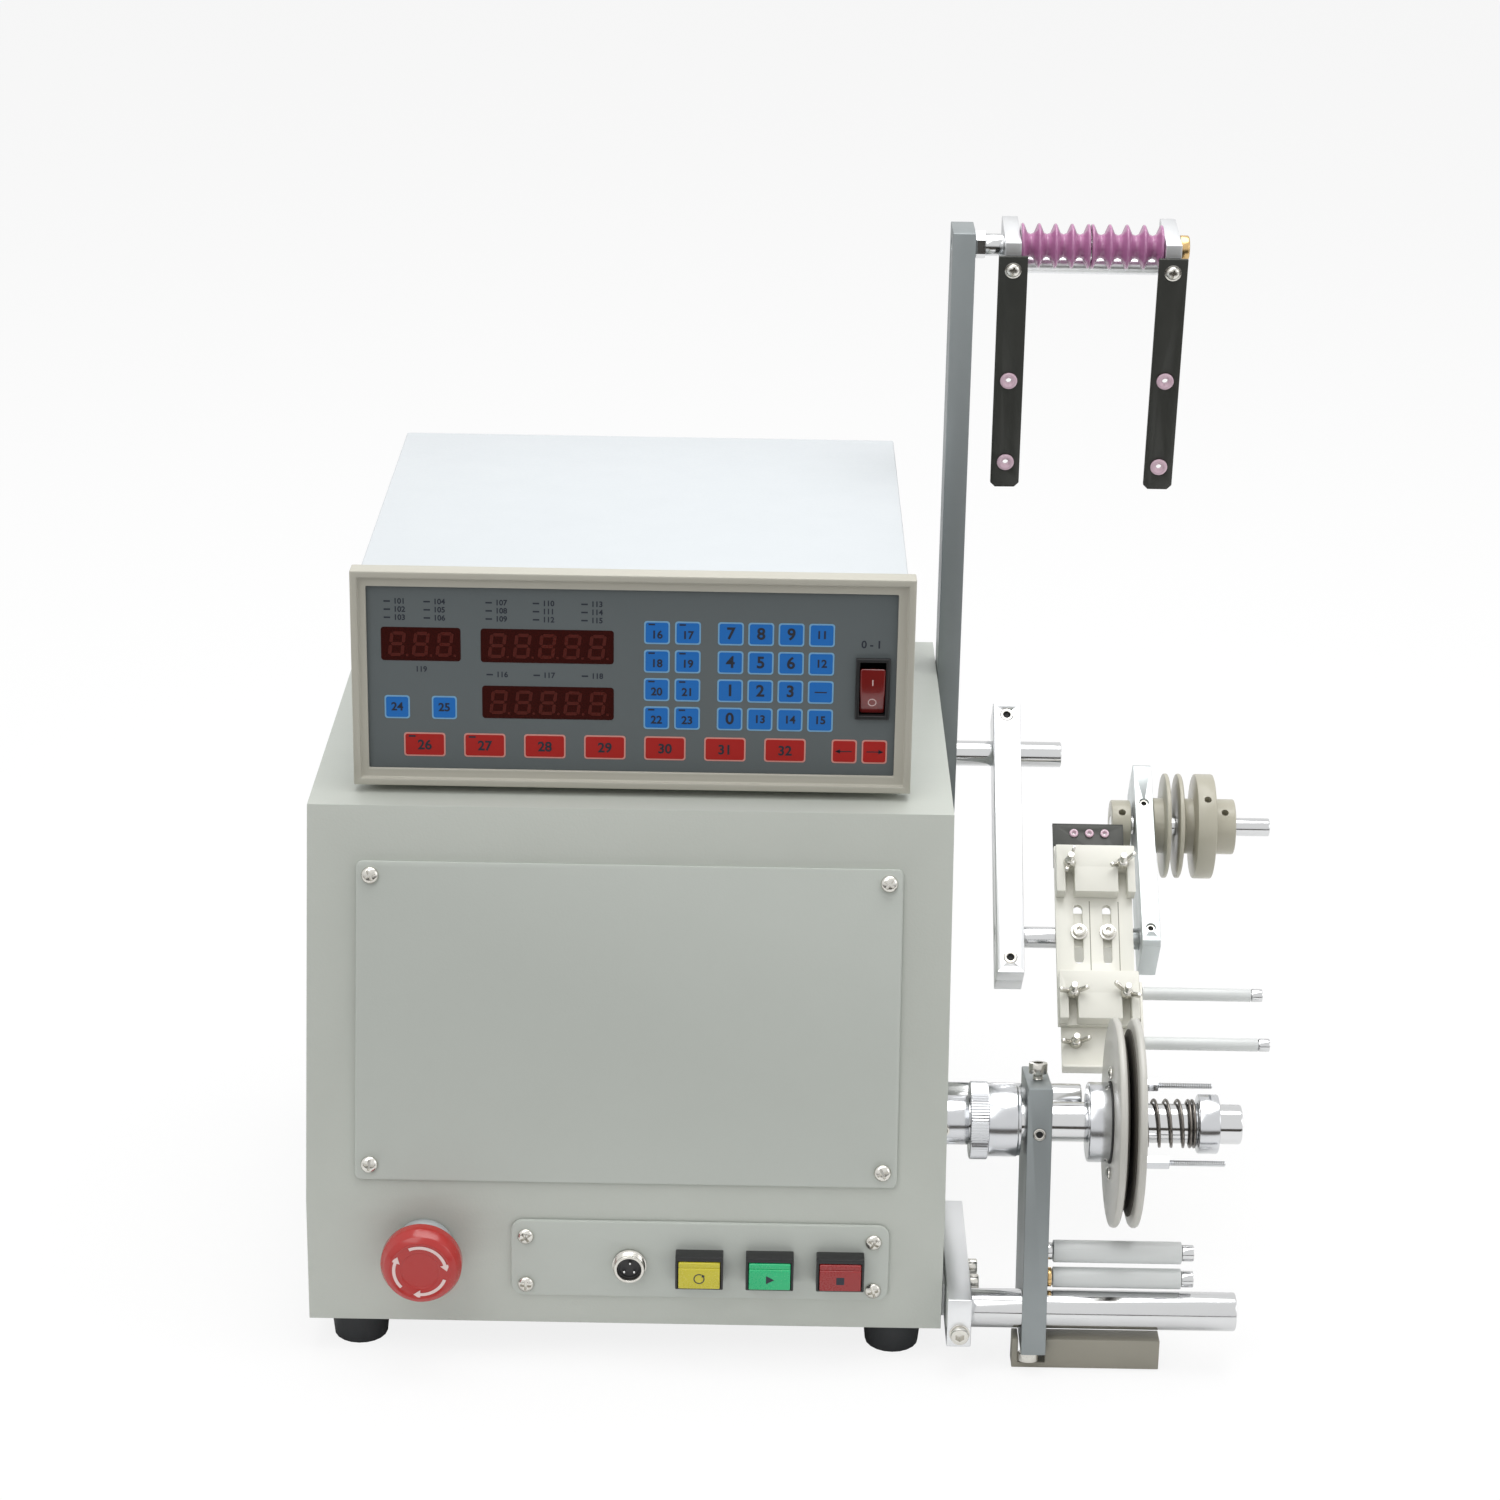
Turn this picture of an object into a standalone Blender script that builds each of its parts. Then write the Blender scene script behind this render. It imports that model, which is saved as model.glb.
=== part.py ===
"""Wire coil winding machine: cabinet, winding controller, spindle, wire traverse and wire stand.

Metres, +Z up. X runs to the machine's right, where the spindle is, and Y runs to its back.
While it is built, x is 0 in the cabinet's middle, y is 0 at its lower front and z is 0 under the feet.
The last step moves the whole machine so that the middle of its bounding box stands over the origin.
"""

from dataclasses import dataclass
from math import cos, pi, radians, sin, tan

import bmesh
import bpy
from mathutils import Matrix, Vector

MM = 0.001
GAP = 0.3 * MM
OVER = 2.0 * MM
ROUND_STEPS = 24
SMALL_STEPS = 12
CREASE_ANGLE = radians(35)

STEEL = ((0.62, 0.63, 0.65), 1.0, 0.25)
ALUMINIUM = ((0.72, 0.73, 0.75), 1.0, 0.35)
ALUMINIUM_DULL = ((0.30, 0.33, 0.34), 1.0, 0.5)
PAINT = ((0.60, 0.64, 0.60), 0.0, 0.5)
CREAM = ((0.78, 0.76, 0.66), 0.0, 0.45)
IVORY = ((0.68, 0.66, 0.56), 0.0, 0.4)
WHITE_PLASTIC = ((0.85, 0.86, 0.85), 0.0, 0.4)
BLACK_PLASTIC = ((0.02, 0.02, 0.02), 0.0, 0.5)
DARK_STEEL = ((0.05, 0.05, 0.05), 1.0, 0.4)
CERAMIC = ((0.72, 0.30, 0.52), 0.0, 0.25)
RED = ((0.75, 0.03, 0.03), 0.0, 0.35)
YELLOW = ((0.85, 0.72, 0.05), 0.0, 0.35)
GREEN = ((0.05, 0.50, 0.25), 0.0, 0.35)
BOARD_GREEN = ((0.03, 0.20, 0.08), 0.0, 0.6)
GREY_BLUE = ((0.35, 0.41, 0.44), 0.0, 0.5)
RUBBER = ((0.02, 0.02, 0.02), 0.0, 0.85)


def clear_scene():
    """Removes whatever the startup scene holds."""
    for obj in list(bpy.data.objects):
        bpy.data.objects.remove(obj)


def collection_named(name):
    """A collection of this name under the scene's, made when there is none."""
    found = bpy.data.collections.get(name)
    if found is None:
        found = bpy.data.collections.new(name)
        bpy.context.scene.collection.children.link(found)
    return found


def finish_of(name, look):
    """A Principled material with this colour, metallic share and roughness share."""
    colour, metallic, roughness = look
    material = bpy.data.materials.new(name + "_finish")
    material.use_nodes = True
    shader = material.node_tree.nodes["Principled BSDF"]
    shader.inputs["Base Color"].default_value = (*colour, 1.0)
    shader.inputs["Metallic"].default_value = metallic
    shader.inputs["Roughness"].default_value = roughness
    material.diffuse_color = (*colour, 1.0)
    return material


def object_from(name, shape, look=None, at=(0, 0, 0), lean=0):
    """An object from a bmesh, at this place and leaning back by this angle, in the parts or the cutters."""
    bmesh.ops.remove_doubles(shape, verts=shape.verts, dist=GAP / 100)
    bmesh.ops.recalc_face_normals(shape, faces=shape.faces)
    mesh = bpy.data.meshes.new(name)
    shape.to_mesh(mesh)
    shape.free()
    obj = bpy.data.objects.new(name, mesh)
    obj.location = at
    obj.rotation_euler = (-lean, 0, 0)
    if look is None:
        collection_named("cutters").objects.link(obj)
        obj.hide_render = True
        obj.display_type = "WIRE"
    else:
        collection_named("machine").objects.link(obj)
        mesh.materials.append(finish_of(name, look))
    return obj


def prism(outline, x0, x1, along="X"):
    """A bmesh prism: the outline's corners in the plane across the axis, pushed from x0 to x1 along it."""
    shape = bmesh.new()
    turn = {"X": lambda a, b, c: (c, a, b), "Y": lambda a, b, c: (a, c, b), "Z": lambda a, b, c: (a, b, c)}[along]
    near = [shape.verts.new(turn(a, b, x0)) for a, b in outline]
    far = [shape.verts.new(turn(a, b, x1)) for a, b in outline]
    shape.faces.new(near)
    shape.faces.new(list(reversed(far)))
    for i in range(len(outline)):
        j = (i + 1) % len(outline)
        shape.faces.new((near[i], near[j], far[j], far[i]))
    return shape


def block(x0, x1, y0, y1, z0, z1):
    """A bmesh block between these limits."""
    return prism([(y0, z0), (y1, z0), (y1, z1), (y0, z1)], x0, x1)


def rounded(a0, a1, b0, b1, radius, steps=3):
    """The outline of a rectangle with round corners, in the plane's two directions."""
    corners = ((a1 - radius, b0 + radius, -90), (a1 - radius, b1 - radius, 0),
               (a0 + radius, b1 - radius, 90), (a0 + radius, b0 + radius, 180))
    points = []
    for a, b, start in corners:
        for i in range(steps + 1):
            angle = radians(start + 90 * i / steps)
            points.append((a + radius * cos(angle), b + radius * sin(angle)))
    return points


def circle(a, b, radius, steps=ROUND_STEPS):
    """The outline of a circle about this centre."""
    return [(a + radius * cos(2 * pi * i / steps), b + radius * sin(2 * pi * i / steps)) for i in range(steps)]


def chamfered(y0, y1, z0, z1, cut):
    """The outline of a bar's side with its four corners cut off."""
    return [(y0 + cut, z0), (y1 - cut, z0), (y1, z0 + cut), (y1, z1 - cut),
            (y1 - cut, z1), (y0 + cut, z1), (y0, z1 - cut), (y0, z0 + cut)]


def turned(profile, centre=(0, 0), steps=ROUND_STEPS, along="X"):
    """A bmesh turned about an axis: the profile's points give the place along it and the radius."""
    shape = bmesh.new()
    a0, b0 = centre
    turn = {"X": lambda a, b, c: (c, a, b), "Y": lambda a, b, c: (a, c, b), "Z": lambda a, b, c: (a, b, c)}[along]
    closed = profile[0] == profile[-1]
    points = profile[:-1] if closed else profile
    rings = []
    for place, radius in points:
        if radius == 0:
            rings.append([shape.verts.new(turn(a0, b0, place))])
        else:
            rings.append([shape.verts.new(turn(a, b, place)) for a, b in circle(a0, b0, radius, steps)])
    pairs = list(zip(rings, rings[1:] + rings[:1] if closed else rings[1:]))
    for first, second in pairs:
        for i in range(steps):
            j = (i + 1) % steps
            corners = [first[i % len(first)], first[j % len(first)], second[j % len(second)], second[i % len(second)]]
            unique = [v for k, v in enumerate(corners) if v not in corners[:k]]
            if len(unique) > 2:
                shape.faces.new(unique)
    return shape


def pin(x0, x1, radius, centre=(0, 0), steps=ROUND_STEPS, along="X"):
    """A solid cylinder from x0 to x1 along its axis."""
    return turned([(x0, 0), (x0, radius), (x1, radius), (x1, 0)], centre, steps, along)


def cut(target, cutter):
    """Takes the cutter's shape out of the target."""
    modifier = target.modifiers.new("cut_" + cutter.name, "BOOLEAN")
    modifier.operation = "DIFFERENCE"
    modifier.solver = "EXACT"
    modifier.object = cutter
    return target


def fuse(target, addition):
    """Makes the addition one body with the target."""
    modifier = target.modifiers.new("with_" + addition.name, "BOOLEAN")
    modifier.operation = "UNION"
    modifier.solver = "EXACT"
    modifier.object = addition
    return target


def smooth(obj, angle=CREASE_ANGLE):
    """Shades a round piece smooth and keeps its edges sharp."""
    for face in obj.data.polygons:
        face.use_smooth = True
    obj.data.set_sharp_from_angle(angle=angle)
    return obj


@dataclass
class Cabinet:
    """The painted sheet cabinet with its front controls."""

    width: float = 320 * MM
    depth: float = 312 * MM
    top: float = 279.5 * MM
    bottom: float = 18 * MM
    crease: float = 84.3 * MM
    lean_back: float = 46.35 * MM
    sheet: float = 2 * MM
    foot_radius: float = 15.5 * MM
    foot_tip_radius: float = 13.5 * MM
    foot_x: float = 136 * MM
    foot_y: tuple = (20 * MM, 290 * MM)
    cover_width: float = 271 * MM
    cover_height: float = 161 * MM
    cover_drop: float = 27.5 * MM
    cover_rim: float = 12 * MM
    cover_corner: float = 3 * MM
    plate_x: tuple = (-57.4 * MM, 132.6 * MM)
    plate_z: tuple = (34.5 * MM, 76.5 * MM)
    plate_corner: float = 6 * MM
    plate_rim: float = 9 * MM
    control_z: float = 53 * MM
    socket_x: float = 2.2 * MM
    socket_radius: float = 8.7 * MM
    socket_body_radius: float = 7.6 * MM
    socket_out: float = 6 * MM
    socket_in: float = 14 * MM
    socket_bore: float = 6 * MM
    socket_bore_depth: float = 4 * MM
    button_x: tuple = (37.4 * MM, 72.7 * MM, 108.1 * MM)
    button_width: float = 24 * MM
    button_height: float = 18 * MM
    button_wall: float = 2.2 * MM
    button_out: float = 9 * MM
    button_cap_out: float = 10.6 * MM
    button_cap_depth: float = 6.5 * MM
    button_body_radius: float = 7.8 * MM
    button_body_depth: float = 28 * MM
    estop_x: float = -100.9 * MM
    estop_z: float = 60.5 * MM
    estop_base_radius: float = 15 * MM
    estop_base_out: float = 9 * MM
    estop_body_radius: float = 10.8 * MM
    estop_bore_radius: float = 6 * MM
    estop_body_in: float = 30 * MM
    estop_head_radius: float = 20.3 * MM
    estop_head_out: tuple = (14 * MM, 28 * MM)
    estop_dish_share: float = 0.8
    estop_edge_share: float = 0.95
    estop_edge_depth_share: float = 0.17
    estop_under_share: float = 0.96
    estop_stem_radius: float = 5.5 * MM
    estop_stem_in: float = 22 * MM
    estop_stem_seat: float = 8 * MM
    spindle_hole_radius: float = 12.8 * MM
    rear_hole_radius: float = 8.6 * MM
    rod_hole_radius: float = 7.8 * MM
    vent_count: int = 6
    vent_width: float = 60 * MM
    vent_height: float = 5 * MM
    vent_pitch: float = 14 * MM
    vent_first: float = 170 * MM

    def build(self, spindle_yz, rear_yz, rod_yz):
        """Every piece of the cabinet. The places are where the spindle, its rear rod and the traverse leave it."""
        self.shell(spindle_yz, rear_yz, rod_yz)
        self.base()
        self.back()
        self.cover()
        self.switch_plate()
        self.estop()

    def shell(self, spindle_yz, rear_yz, rod_yz):
        """The folded sheet: front, top and the two sides, open below and behind."""
        half = self.width / 2
        outer = [(0, self.bottom), (0, self.crease), (self.lean_back, self.top),
                 (self.depth, self.top), (self.depth, self.bottom)]
        slope = self.lean_back / (self.top - self.crease)
        shift = self.sheet * (1 + slope ** 2) ** 0.5
        top_in = self.top - self.sheet
        inner = [(self.sheet, self.bottom - OVER),
                 (self.sheet, self.crease + (self.sheet - shift) / slope),
                 ((top_in - self.crease) * slope + shift, top_in),
                 (self.depth + OVER, top_in), (self.depth + OVER, self.bottom - OVER)]
        shell = object_from("cabinet_shell", prism(outer, -half, half), PAINT)
        cut(shell, object_from("shell_hollow", prism(inner, self.sheet - half, half - self.sheet)))
        reach = half - 2 * self.sheet, half + OVER
        cut(shell, object_from("shell_spindle_hole", pin(*reach, self.spindle_hole_radius, spindle_yz)))
        cut(shell, object_from("shell_rear_hole", pin(*reach, self.rear_hole_radius, rear_yz)))
        cut(shell, object_from("shell_rod_hole", pin(*reach, self.rod_hole_radius, rod_yz)))
        window_x = self.cover_width / 2 - self.cover_rim
        window_z = self.cover_height / 2 - self.cover_rim
        window = block(-window_x, window_x, -3 * self.sheet, 3 * self.sheet, -window_z, window_z)
        cut(shell, object_from("shell_service_window", window, at=self.cover_middle(), lean=self.lean()))
        x0, x1 = self.socket_x - self.plate_rim, self.plate_x[1] - self.plate_rim
        z0, z1 = self.plate_z[0] + self.plate_rim, self.plate_z[1] - self.plate_rim
        cut(shell, object_from("shell_switch_window", block(x0, x1, -OVER, self.sheet + OVER, z0, z1)))
        hole = pin(-OVER, self.sheet + OVER, self.estop_body_radius + GAP,
                   (self.estop_x, self.estop_z), ROUND_STEPS, "Y")
        cut(shell, object_from("shell_estop_hole", hole))

    def lean(self):
        """How far the upper front leans back."""
        return Vector((self.top - self.crease, self.lean_back)).angle_signed(Vector((1, 0)))

    def cover_middle(self):
        """The middle of the cover plate, on the leaning front."""
        down = self.cover_drop + self.cover_height / 2
        return (0, self.lean_back - down * sin(self.lean()), self.top - down * cos(self.lean()))

    def base(self):
        """The base sheet with its four rubber feet pressed in."""
        half = self.width / 2 - self.sheet - GAP
        y0, y1 = self.sheet + GAP, self.depth - self.sheet - 2 * GAP
        z0 = self.bottom + GAP
        base = object_from("base_plate", block(-half, half, y0, y1, z0, z0 + self.sheet), RUBBER)
        for i, y in enumerate(self.foot_y):
            for side in (-1, 1):
                foot = [(0, 0), (0, self.foot_tip_radius), (z0 + self.sheet / 2, self.foot_radius),
                        (z0 + self.sheet / 2, 0)]
                name = f"base_foot_{i}_{'left' if side < 0 else 'right'}"
                fuse(base, object_from(name, turned(foot, (side * self.foot_x, y), 20, "Z")))

    def back(self):
        """The back panel, screwed inside the shell's rim, with its vents."""
        half = self.width / 2 - self.sheet - GAP
        y0, y1 = self.depth - self.sheet - GAP, self.depth - GAP
        z0, z1 = self.bottom + self.sheet + 2 * GAP, self.top - self.sheet - GAP
        back = object_from("back_panel", block(-half, half, y0, y1, z0, z1), PAINT)
        for i in range(self.vent_count):
            z = self.vent_first + i * self.vent_pitch - self.vent_height
            vent = block(-self.vent_width, self.vent_width, y0 - OVER, y1 + OVER, z, z + self.vent_height)
            cut(back, object_from(f"back_vent_{i}", vent))

    def cover(self):
        """The screwed cover plate on the leaning front."""
        half_x, half_z = self.cover_width / 2, self.cover_height / 2
        outline = rounded(-half_x, half_x, -half_z, half_z, self.cover_corner, 2)
        shape = prism(outline, -GAP - self.sheet, -GAP, "Y")
        object_from("front_cover_plate", shape, PAINT, self.cover_middle(), self.lean())

    def switch_plate(self):
        """The plate of the pedal socket and the three buttons, with the buttons' square bezels on it."""
        outline = rounded(*self.plate_x, *self.plate_z, self.plate_corner)
        plate = object_from("switch_plate", prism(outline, -GAP - self.sheet, -GAP, "Y"), PAINT)
        hole = pin(-3 * self.sheet, OVER, self.socket_body_radius + GAP, (self.socket_x, self.control_z), 20, "Y")
        cut(plate, object_from("plate_socket_hole", hole))
        face = -GAP - self.sheet
        half_x, half_z = self.button_width / 2, self.button_height / 2
        for x, label, look in zip(self.button_x, ("yellow", "green", "red"), (YELLOW, GREEN, RED)):
            z = self.control_z
            bezel = block(x - half_x, x + half_x, face - self.button_out, face + self.sheet / 2, z - half_z, z + half_z)
            fuse(plate, object_from(f"bezel_{label}", bezel))
            body = pin(face, self.button_body_depth, self.button_body_radius, (x, z), 16, "Y")
            fuse(plate, object_from(f"switch_body_{label}", body))
            wx, wz = half_x - self.button_wall, half_z - self.button_wall
            well = block(x - wx, x + wx, face - 2 * self.button_out, face - self.button_out + self.button_cap_depth,
                         z - wz, z + wz)
            cut(plate, object_from(f"bezel_well_{label}", well))
            cx, cz = wx - GAP, wz - GAP
            cap_back = self.button_cap_depth - self.button_out / 2
            cap = object_from(f"button_cap_{label}",
                              block(-cx, cx, face - self.button_cap_out, face - self.button_out + cap_back, -cz, cz),
                              look, (x, 0, z))
            soften = cap.modifiers.new("soft_edges", "BEVEL")
            soften.width = self.button_wall / 3
            soften.segments = 1
        tip = face - GAP - self.socket_out
        floor = tip + self.socket_bore_depth
        socket = [(tip, self.socket_bore), (tip, self.socket_radius), (face - GAP, self.socket_radius),
                  (face - GAP, self.socket_body_radius), (self.socket_in, self.socket_body_radius),
                  (self.socket_in, 0), (floor, 0), (floor, self.socket_bore), (tip, self.socket_bore)]
        smooth(object_from("pedal_socket", turned(socket, (0, 0), 20, "Y"), STEEL,
                           (self.socket_x, 0, self.control_z)))

    def estop(self):
        """The emergency stop: its collar in the front and the mushroom head that is pushed."""
        base = [(-GAP - self.estop_base_out, self.estop_bore_radius), (-GAP - self.estop_base_out, self.estop_base_radius),
                (-GAP, self.estop_base_radius), (-GAP, self.estop_body_radius),
                (self.estop_body_in, self.estop_body_radius), (self.estop_body_in, self.estop_bore_radius)]
        place = (self.estop_x, 0, self.estop_z)
        smooth(object_from("estop_collar", turned(base + base[:1], (0, 0), ROUND_STEPS, "Y"), GREY_BLUE, place))
        near, far = self.estop_head_out
        rim = self.estop_head_radius
        edge = self.estop_edge_depth_share * (far - near) - far
        head = [(-far, 0), (-far, rim * self.estop_dish_share), (edge, rim * self.estop_edge_share),
                (-(near + far) / 2, rim), (-near, rim * self.estop_under_share), (-near, self.estop_stem_radius + GAP),
                (-near - self.estop_stem_seat, self.estop_stem_radius + GAP), (-near - self.estop_stem_seat, 0)]
        smooth(object_from("estop_head", turned(head, (0, 0), ROUND_STEPS, "Y"), RED, place))
        stem = pin(GAP - near - self.estop_stem_seat, self.estop_stem_in, self.estop_stem_radius, (0, 0), 16, "Y")
        smooth(object_from("estop_stem", stem, WHITE_PLASTIC, place))


@dataclass
class Controller:
    """The winding controller that stands on the cabinet."""

    front: float = 63.3 * MM
    floor: float = 283.6 * MM
    width: float = 277 * MM
    height: float = 111.6 * MM
    case_width: float = 270 * MM
    case_top: float = 391.6 * MM
    case_back: float = 328.8 * MM
    sheet: float = 1.6 * MM
    bezel_depth: float = 11 * MM
    lip: float = 3.6 * MM
    step: float = 2.4 * MM
    window_x: tuple = (-131 * MM, 130 * MM)
    window_z: tuple = (291.8 * MM, 386.7 * MM)
    window_depth: float = 4.6 * MM
    panel_rim: float = 2.5 * MM
    panel_thick: float = 2 * MM
    foot_radius: float = 7 * MM
    foot_x: float = 115 * MM
    foot_y: tuple = (98 * MM, 296 * MM)
    foot_bottom: float = 279.8 * MM
    board_rim: float = 8 * MM
    board_gap: float = 6 * MM
    board_thick: float = 1.6 * MM
    chip_depth: float = 14 * MM
    chip_share: float = 0.12
    chip_place_shares: tuple = (0.2, 0.5, 0.8)
    post_radius: float = 3 * MM
    post_inset: float = 7 * MM
    rocker_x: float = 118.4 * MM
    rocker_z: float = 337.4 * MM
    rocker_width: float = 17 * MM
    rocker_height: float = 32 * MM
    rocker_out: float = 1.6 * MM
    rocker_wall: float = 2 * MM
    rocker_in: float = 24 * MM
    rocker_well: float = 12 * MM
    rocker_foot_share: float = 0.7
    rocker_tilt: float = radians(9)
    rocker_pivot_in: float = 8 * MM

    def build(self):
        """Every piece of the controller."""
        half = self.case_width / 2
        back_of_bezel = self.front + self.bezel_depth
        case_front = back_of_bezel + GAP
        tray_top = self.floor + 2 * self.sheet
        box = block(-half, half, case_front, self.case_back, tray_top + GAP, self.case_top)
        case = object_from("controller_case", box, PAINT)
        hollow = block(self.sheet - half, half - self.sheet, self.front, self.case_back - self.sheet,
                       self.floor, self.case_top - self.sheet)
        cut(case, object_from("case_hollow", hollow))
        inner = half - self.sheet
        tray = object_from("controller_tray", block(-inner, inner, case_front, self.case_back - 2 * self.sheet,
                                                    self.floor + GAP, tray_top), PAINT)
        for i, y in enumerate(self.foot_y):
            for side in (-1, 1):
                foot = pin(self.foot_bottom, self.floor + self.sheet, self.foot_radius, (side * self.foot_x, y), 12, "Z")
                fuse(tray, object_from(f"tray_foot_{i}_{'left' if side < 0 else 'right'}", foot))
        self.bezel()
        self.panel()
        self.rocker()

    def bezel(self):
        """The moulded front frame: an outer lip, a step inwards and the window."""
        half = self.width / 2
        z1 = self.floor + self.height
        box = block(-half, half, self.front, self.front + self.bezel_depth, self.floor, z1)
        frame = object_from("controller_bezel", box, CREAM)
        lip = block(self.lip - half, half - self.lip, self.front - OVER, self.front + self.step,
                    self.floor + self.lip, z1 - self.lip)
        cut(frame, object_from("bezel_step", lip))
        window = block(*self.window_x, self.front - OVER, self.front + self.bezel_depth + OVER, *self.window_z)
        cut(frame, object_from("bezel_window", window))
        (x0, x1), (z0, z1) = self.window_x, self.window_z
        seat = block(x0 - self.panel_rim, x1 + self.panel_rim, self.front + self.window_depth,
                     self.front + self.bezel_depth + OVER, z0 - self.panel_rim, z1 + self.panel_rim)
        cut(frame, object_from("bezel_seat", seat))

    def panel(self):
        """The keypad and display panel in the bezel, and the circuit board behind it."""
        (x0, x1), (z0, z1) = self.window_x, self.window_z
        rim = self.panel_rim - GAP
        y0 = self.front + self.window_depth + GAP
        panel = object_from("keypad_panel", block(x0 - rim, x1 + rim, y0, y0 + self.panel_thick, z0 - rim, z1 + rim), GREY_BLUE)
        hx, hz = self.rocker_width / 2 - self.rocker_wall / 2, self.rocker_height / 2 - self.rocker_wall / 2
        hole = block(self.rocker_x - hx - GAP, self.rocker_x + hx + GAP, y0 - OVER, y0 + self.panel_thick + OVER,
                     self.rocker_z - hz - GAP, self.rocker_z + hz + GAP)
        cut(panel, object_from("panel_rocker_hole", hole))
        b0 = y0 + self.panel_thick + self.board_gap
        bx1 = self.rocker_x - self.rocker_width
        board = object_from("circuit_board", block(x0 + self.board_rim, bx1, b0, b0 + self.board_thick,
                                                   z0 + self.board_rim, z1 - self.board_rim), BOARD_GREEN)
        for i, share in enumerate(self.chip_place_shares):
            x = x0 + self.board_rim + share * (bx1 - x0 - self.board_rim)
            wide = self.chip_share * (bx1 - x0)
            z = (z0 + z1) / 2
            chip = block(x - wide, x + wide, b0 + self.board_thick / 2, b0 + self.chip_depth, z - wide, z + wide)
            fuse(board, object_from(f"board_part_{i}", chip))
        inset = self.board_rim + self.post_inset
        for i, x in enumerate((x0 + inset, bx1 - self.post_inset)):
            for j, z in enumerate((z0 + inset, z1 - inset)):
                post = pin(y0 + self.panel_thick + GAP, b0 + self.board_thick / 2, self.post_radius, (x, z), 8, "Y")
                fuse(board, object_from(f"board_post_{i}_{j}", post))

    def rocker(self):
        """The power switch: its body in the panel and the tilting lever."""
        y0 = self.front + self.window_depth
        hx, hz = self.rocker_width / 2, self.rocker_height / 2
        x, z = self.rocker_x, self.rocker_z
        wall = self.rocker_wall
        flange = block(x - hx, x + hx, y0 - self.rocker_out, y0, z - hz, z + hz)
        body = object_from("rocker_body", flange, BLACK_PLASTIC)
        neck = block(x - hx + wall / 2, x + hx - wall / 2, y0 - self.rocker_out / 2, y0 + self.rocker_in,
                     z - hz + wall / 2, z + hz - wall / 2)
        fuse(body, object_from("rocker_neck", neck))
        well = block(x - hx + wall, x + hx - wall, y0 - OVER - self.rocker_out, y0 + self.rocker_well,
                     z - hz + wall, z + hz - wall)
        cut(body, object_from("rocker_well", well))
        long = hz - wall - 2 * GAP - self.rocker_wall / 2
        deep = self.rocker_pivot_in
        foot = long * self.rocker_foot_share
        outline = [(-deep, -long), (-deep - self.rocker_out / 2, 0), (-deep, long), (0, foot), (0, -foot)]
        side = hx - wall - GAP
        object_from("rocker_lever", prism(outline, -side, side), RED,
                    (x, y0 + deep - self.rocker_out / 2, z), -self.rocker_tilt)


def swung(shape, x, angle):
    """The bmesh turned by this angle about the line along Y through x."""
    bmesh.ops.rotate(shape, verts=shape.verts, cent=(x, 0, 0), matrix=Matrix.Rotation(angle, 3, "Y"))
    return shape


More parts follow.
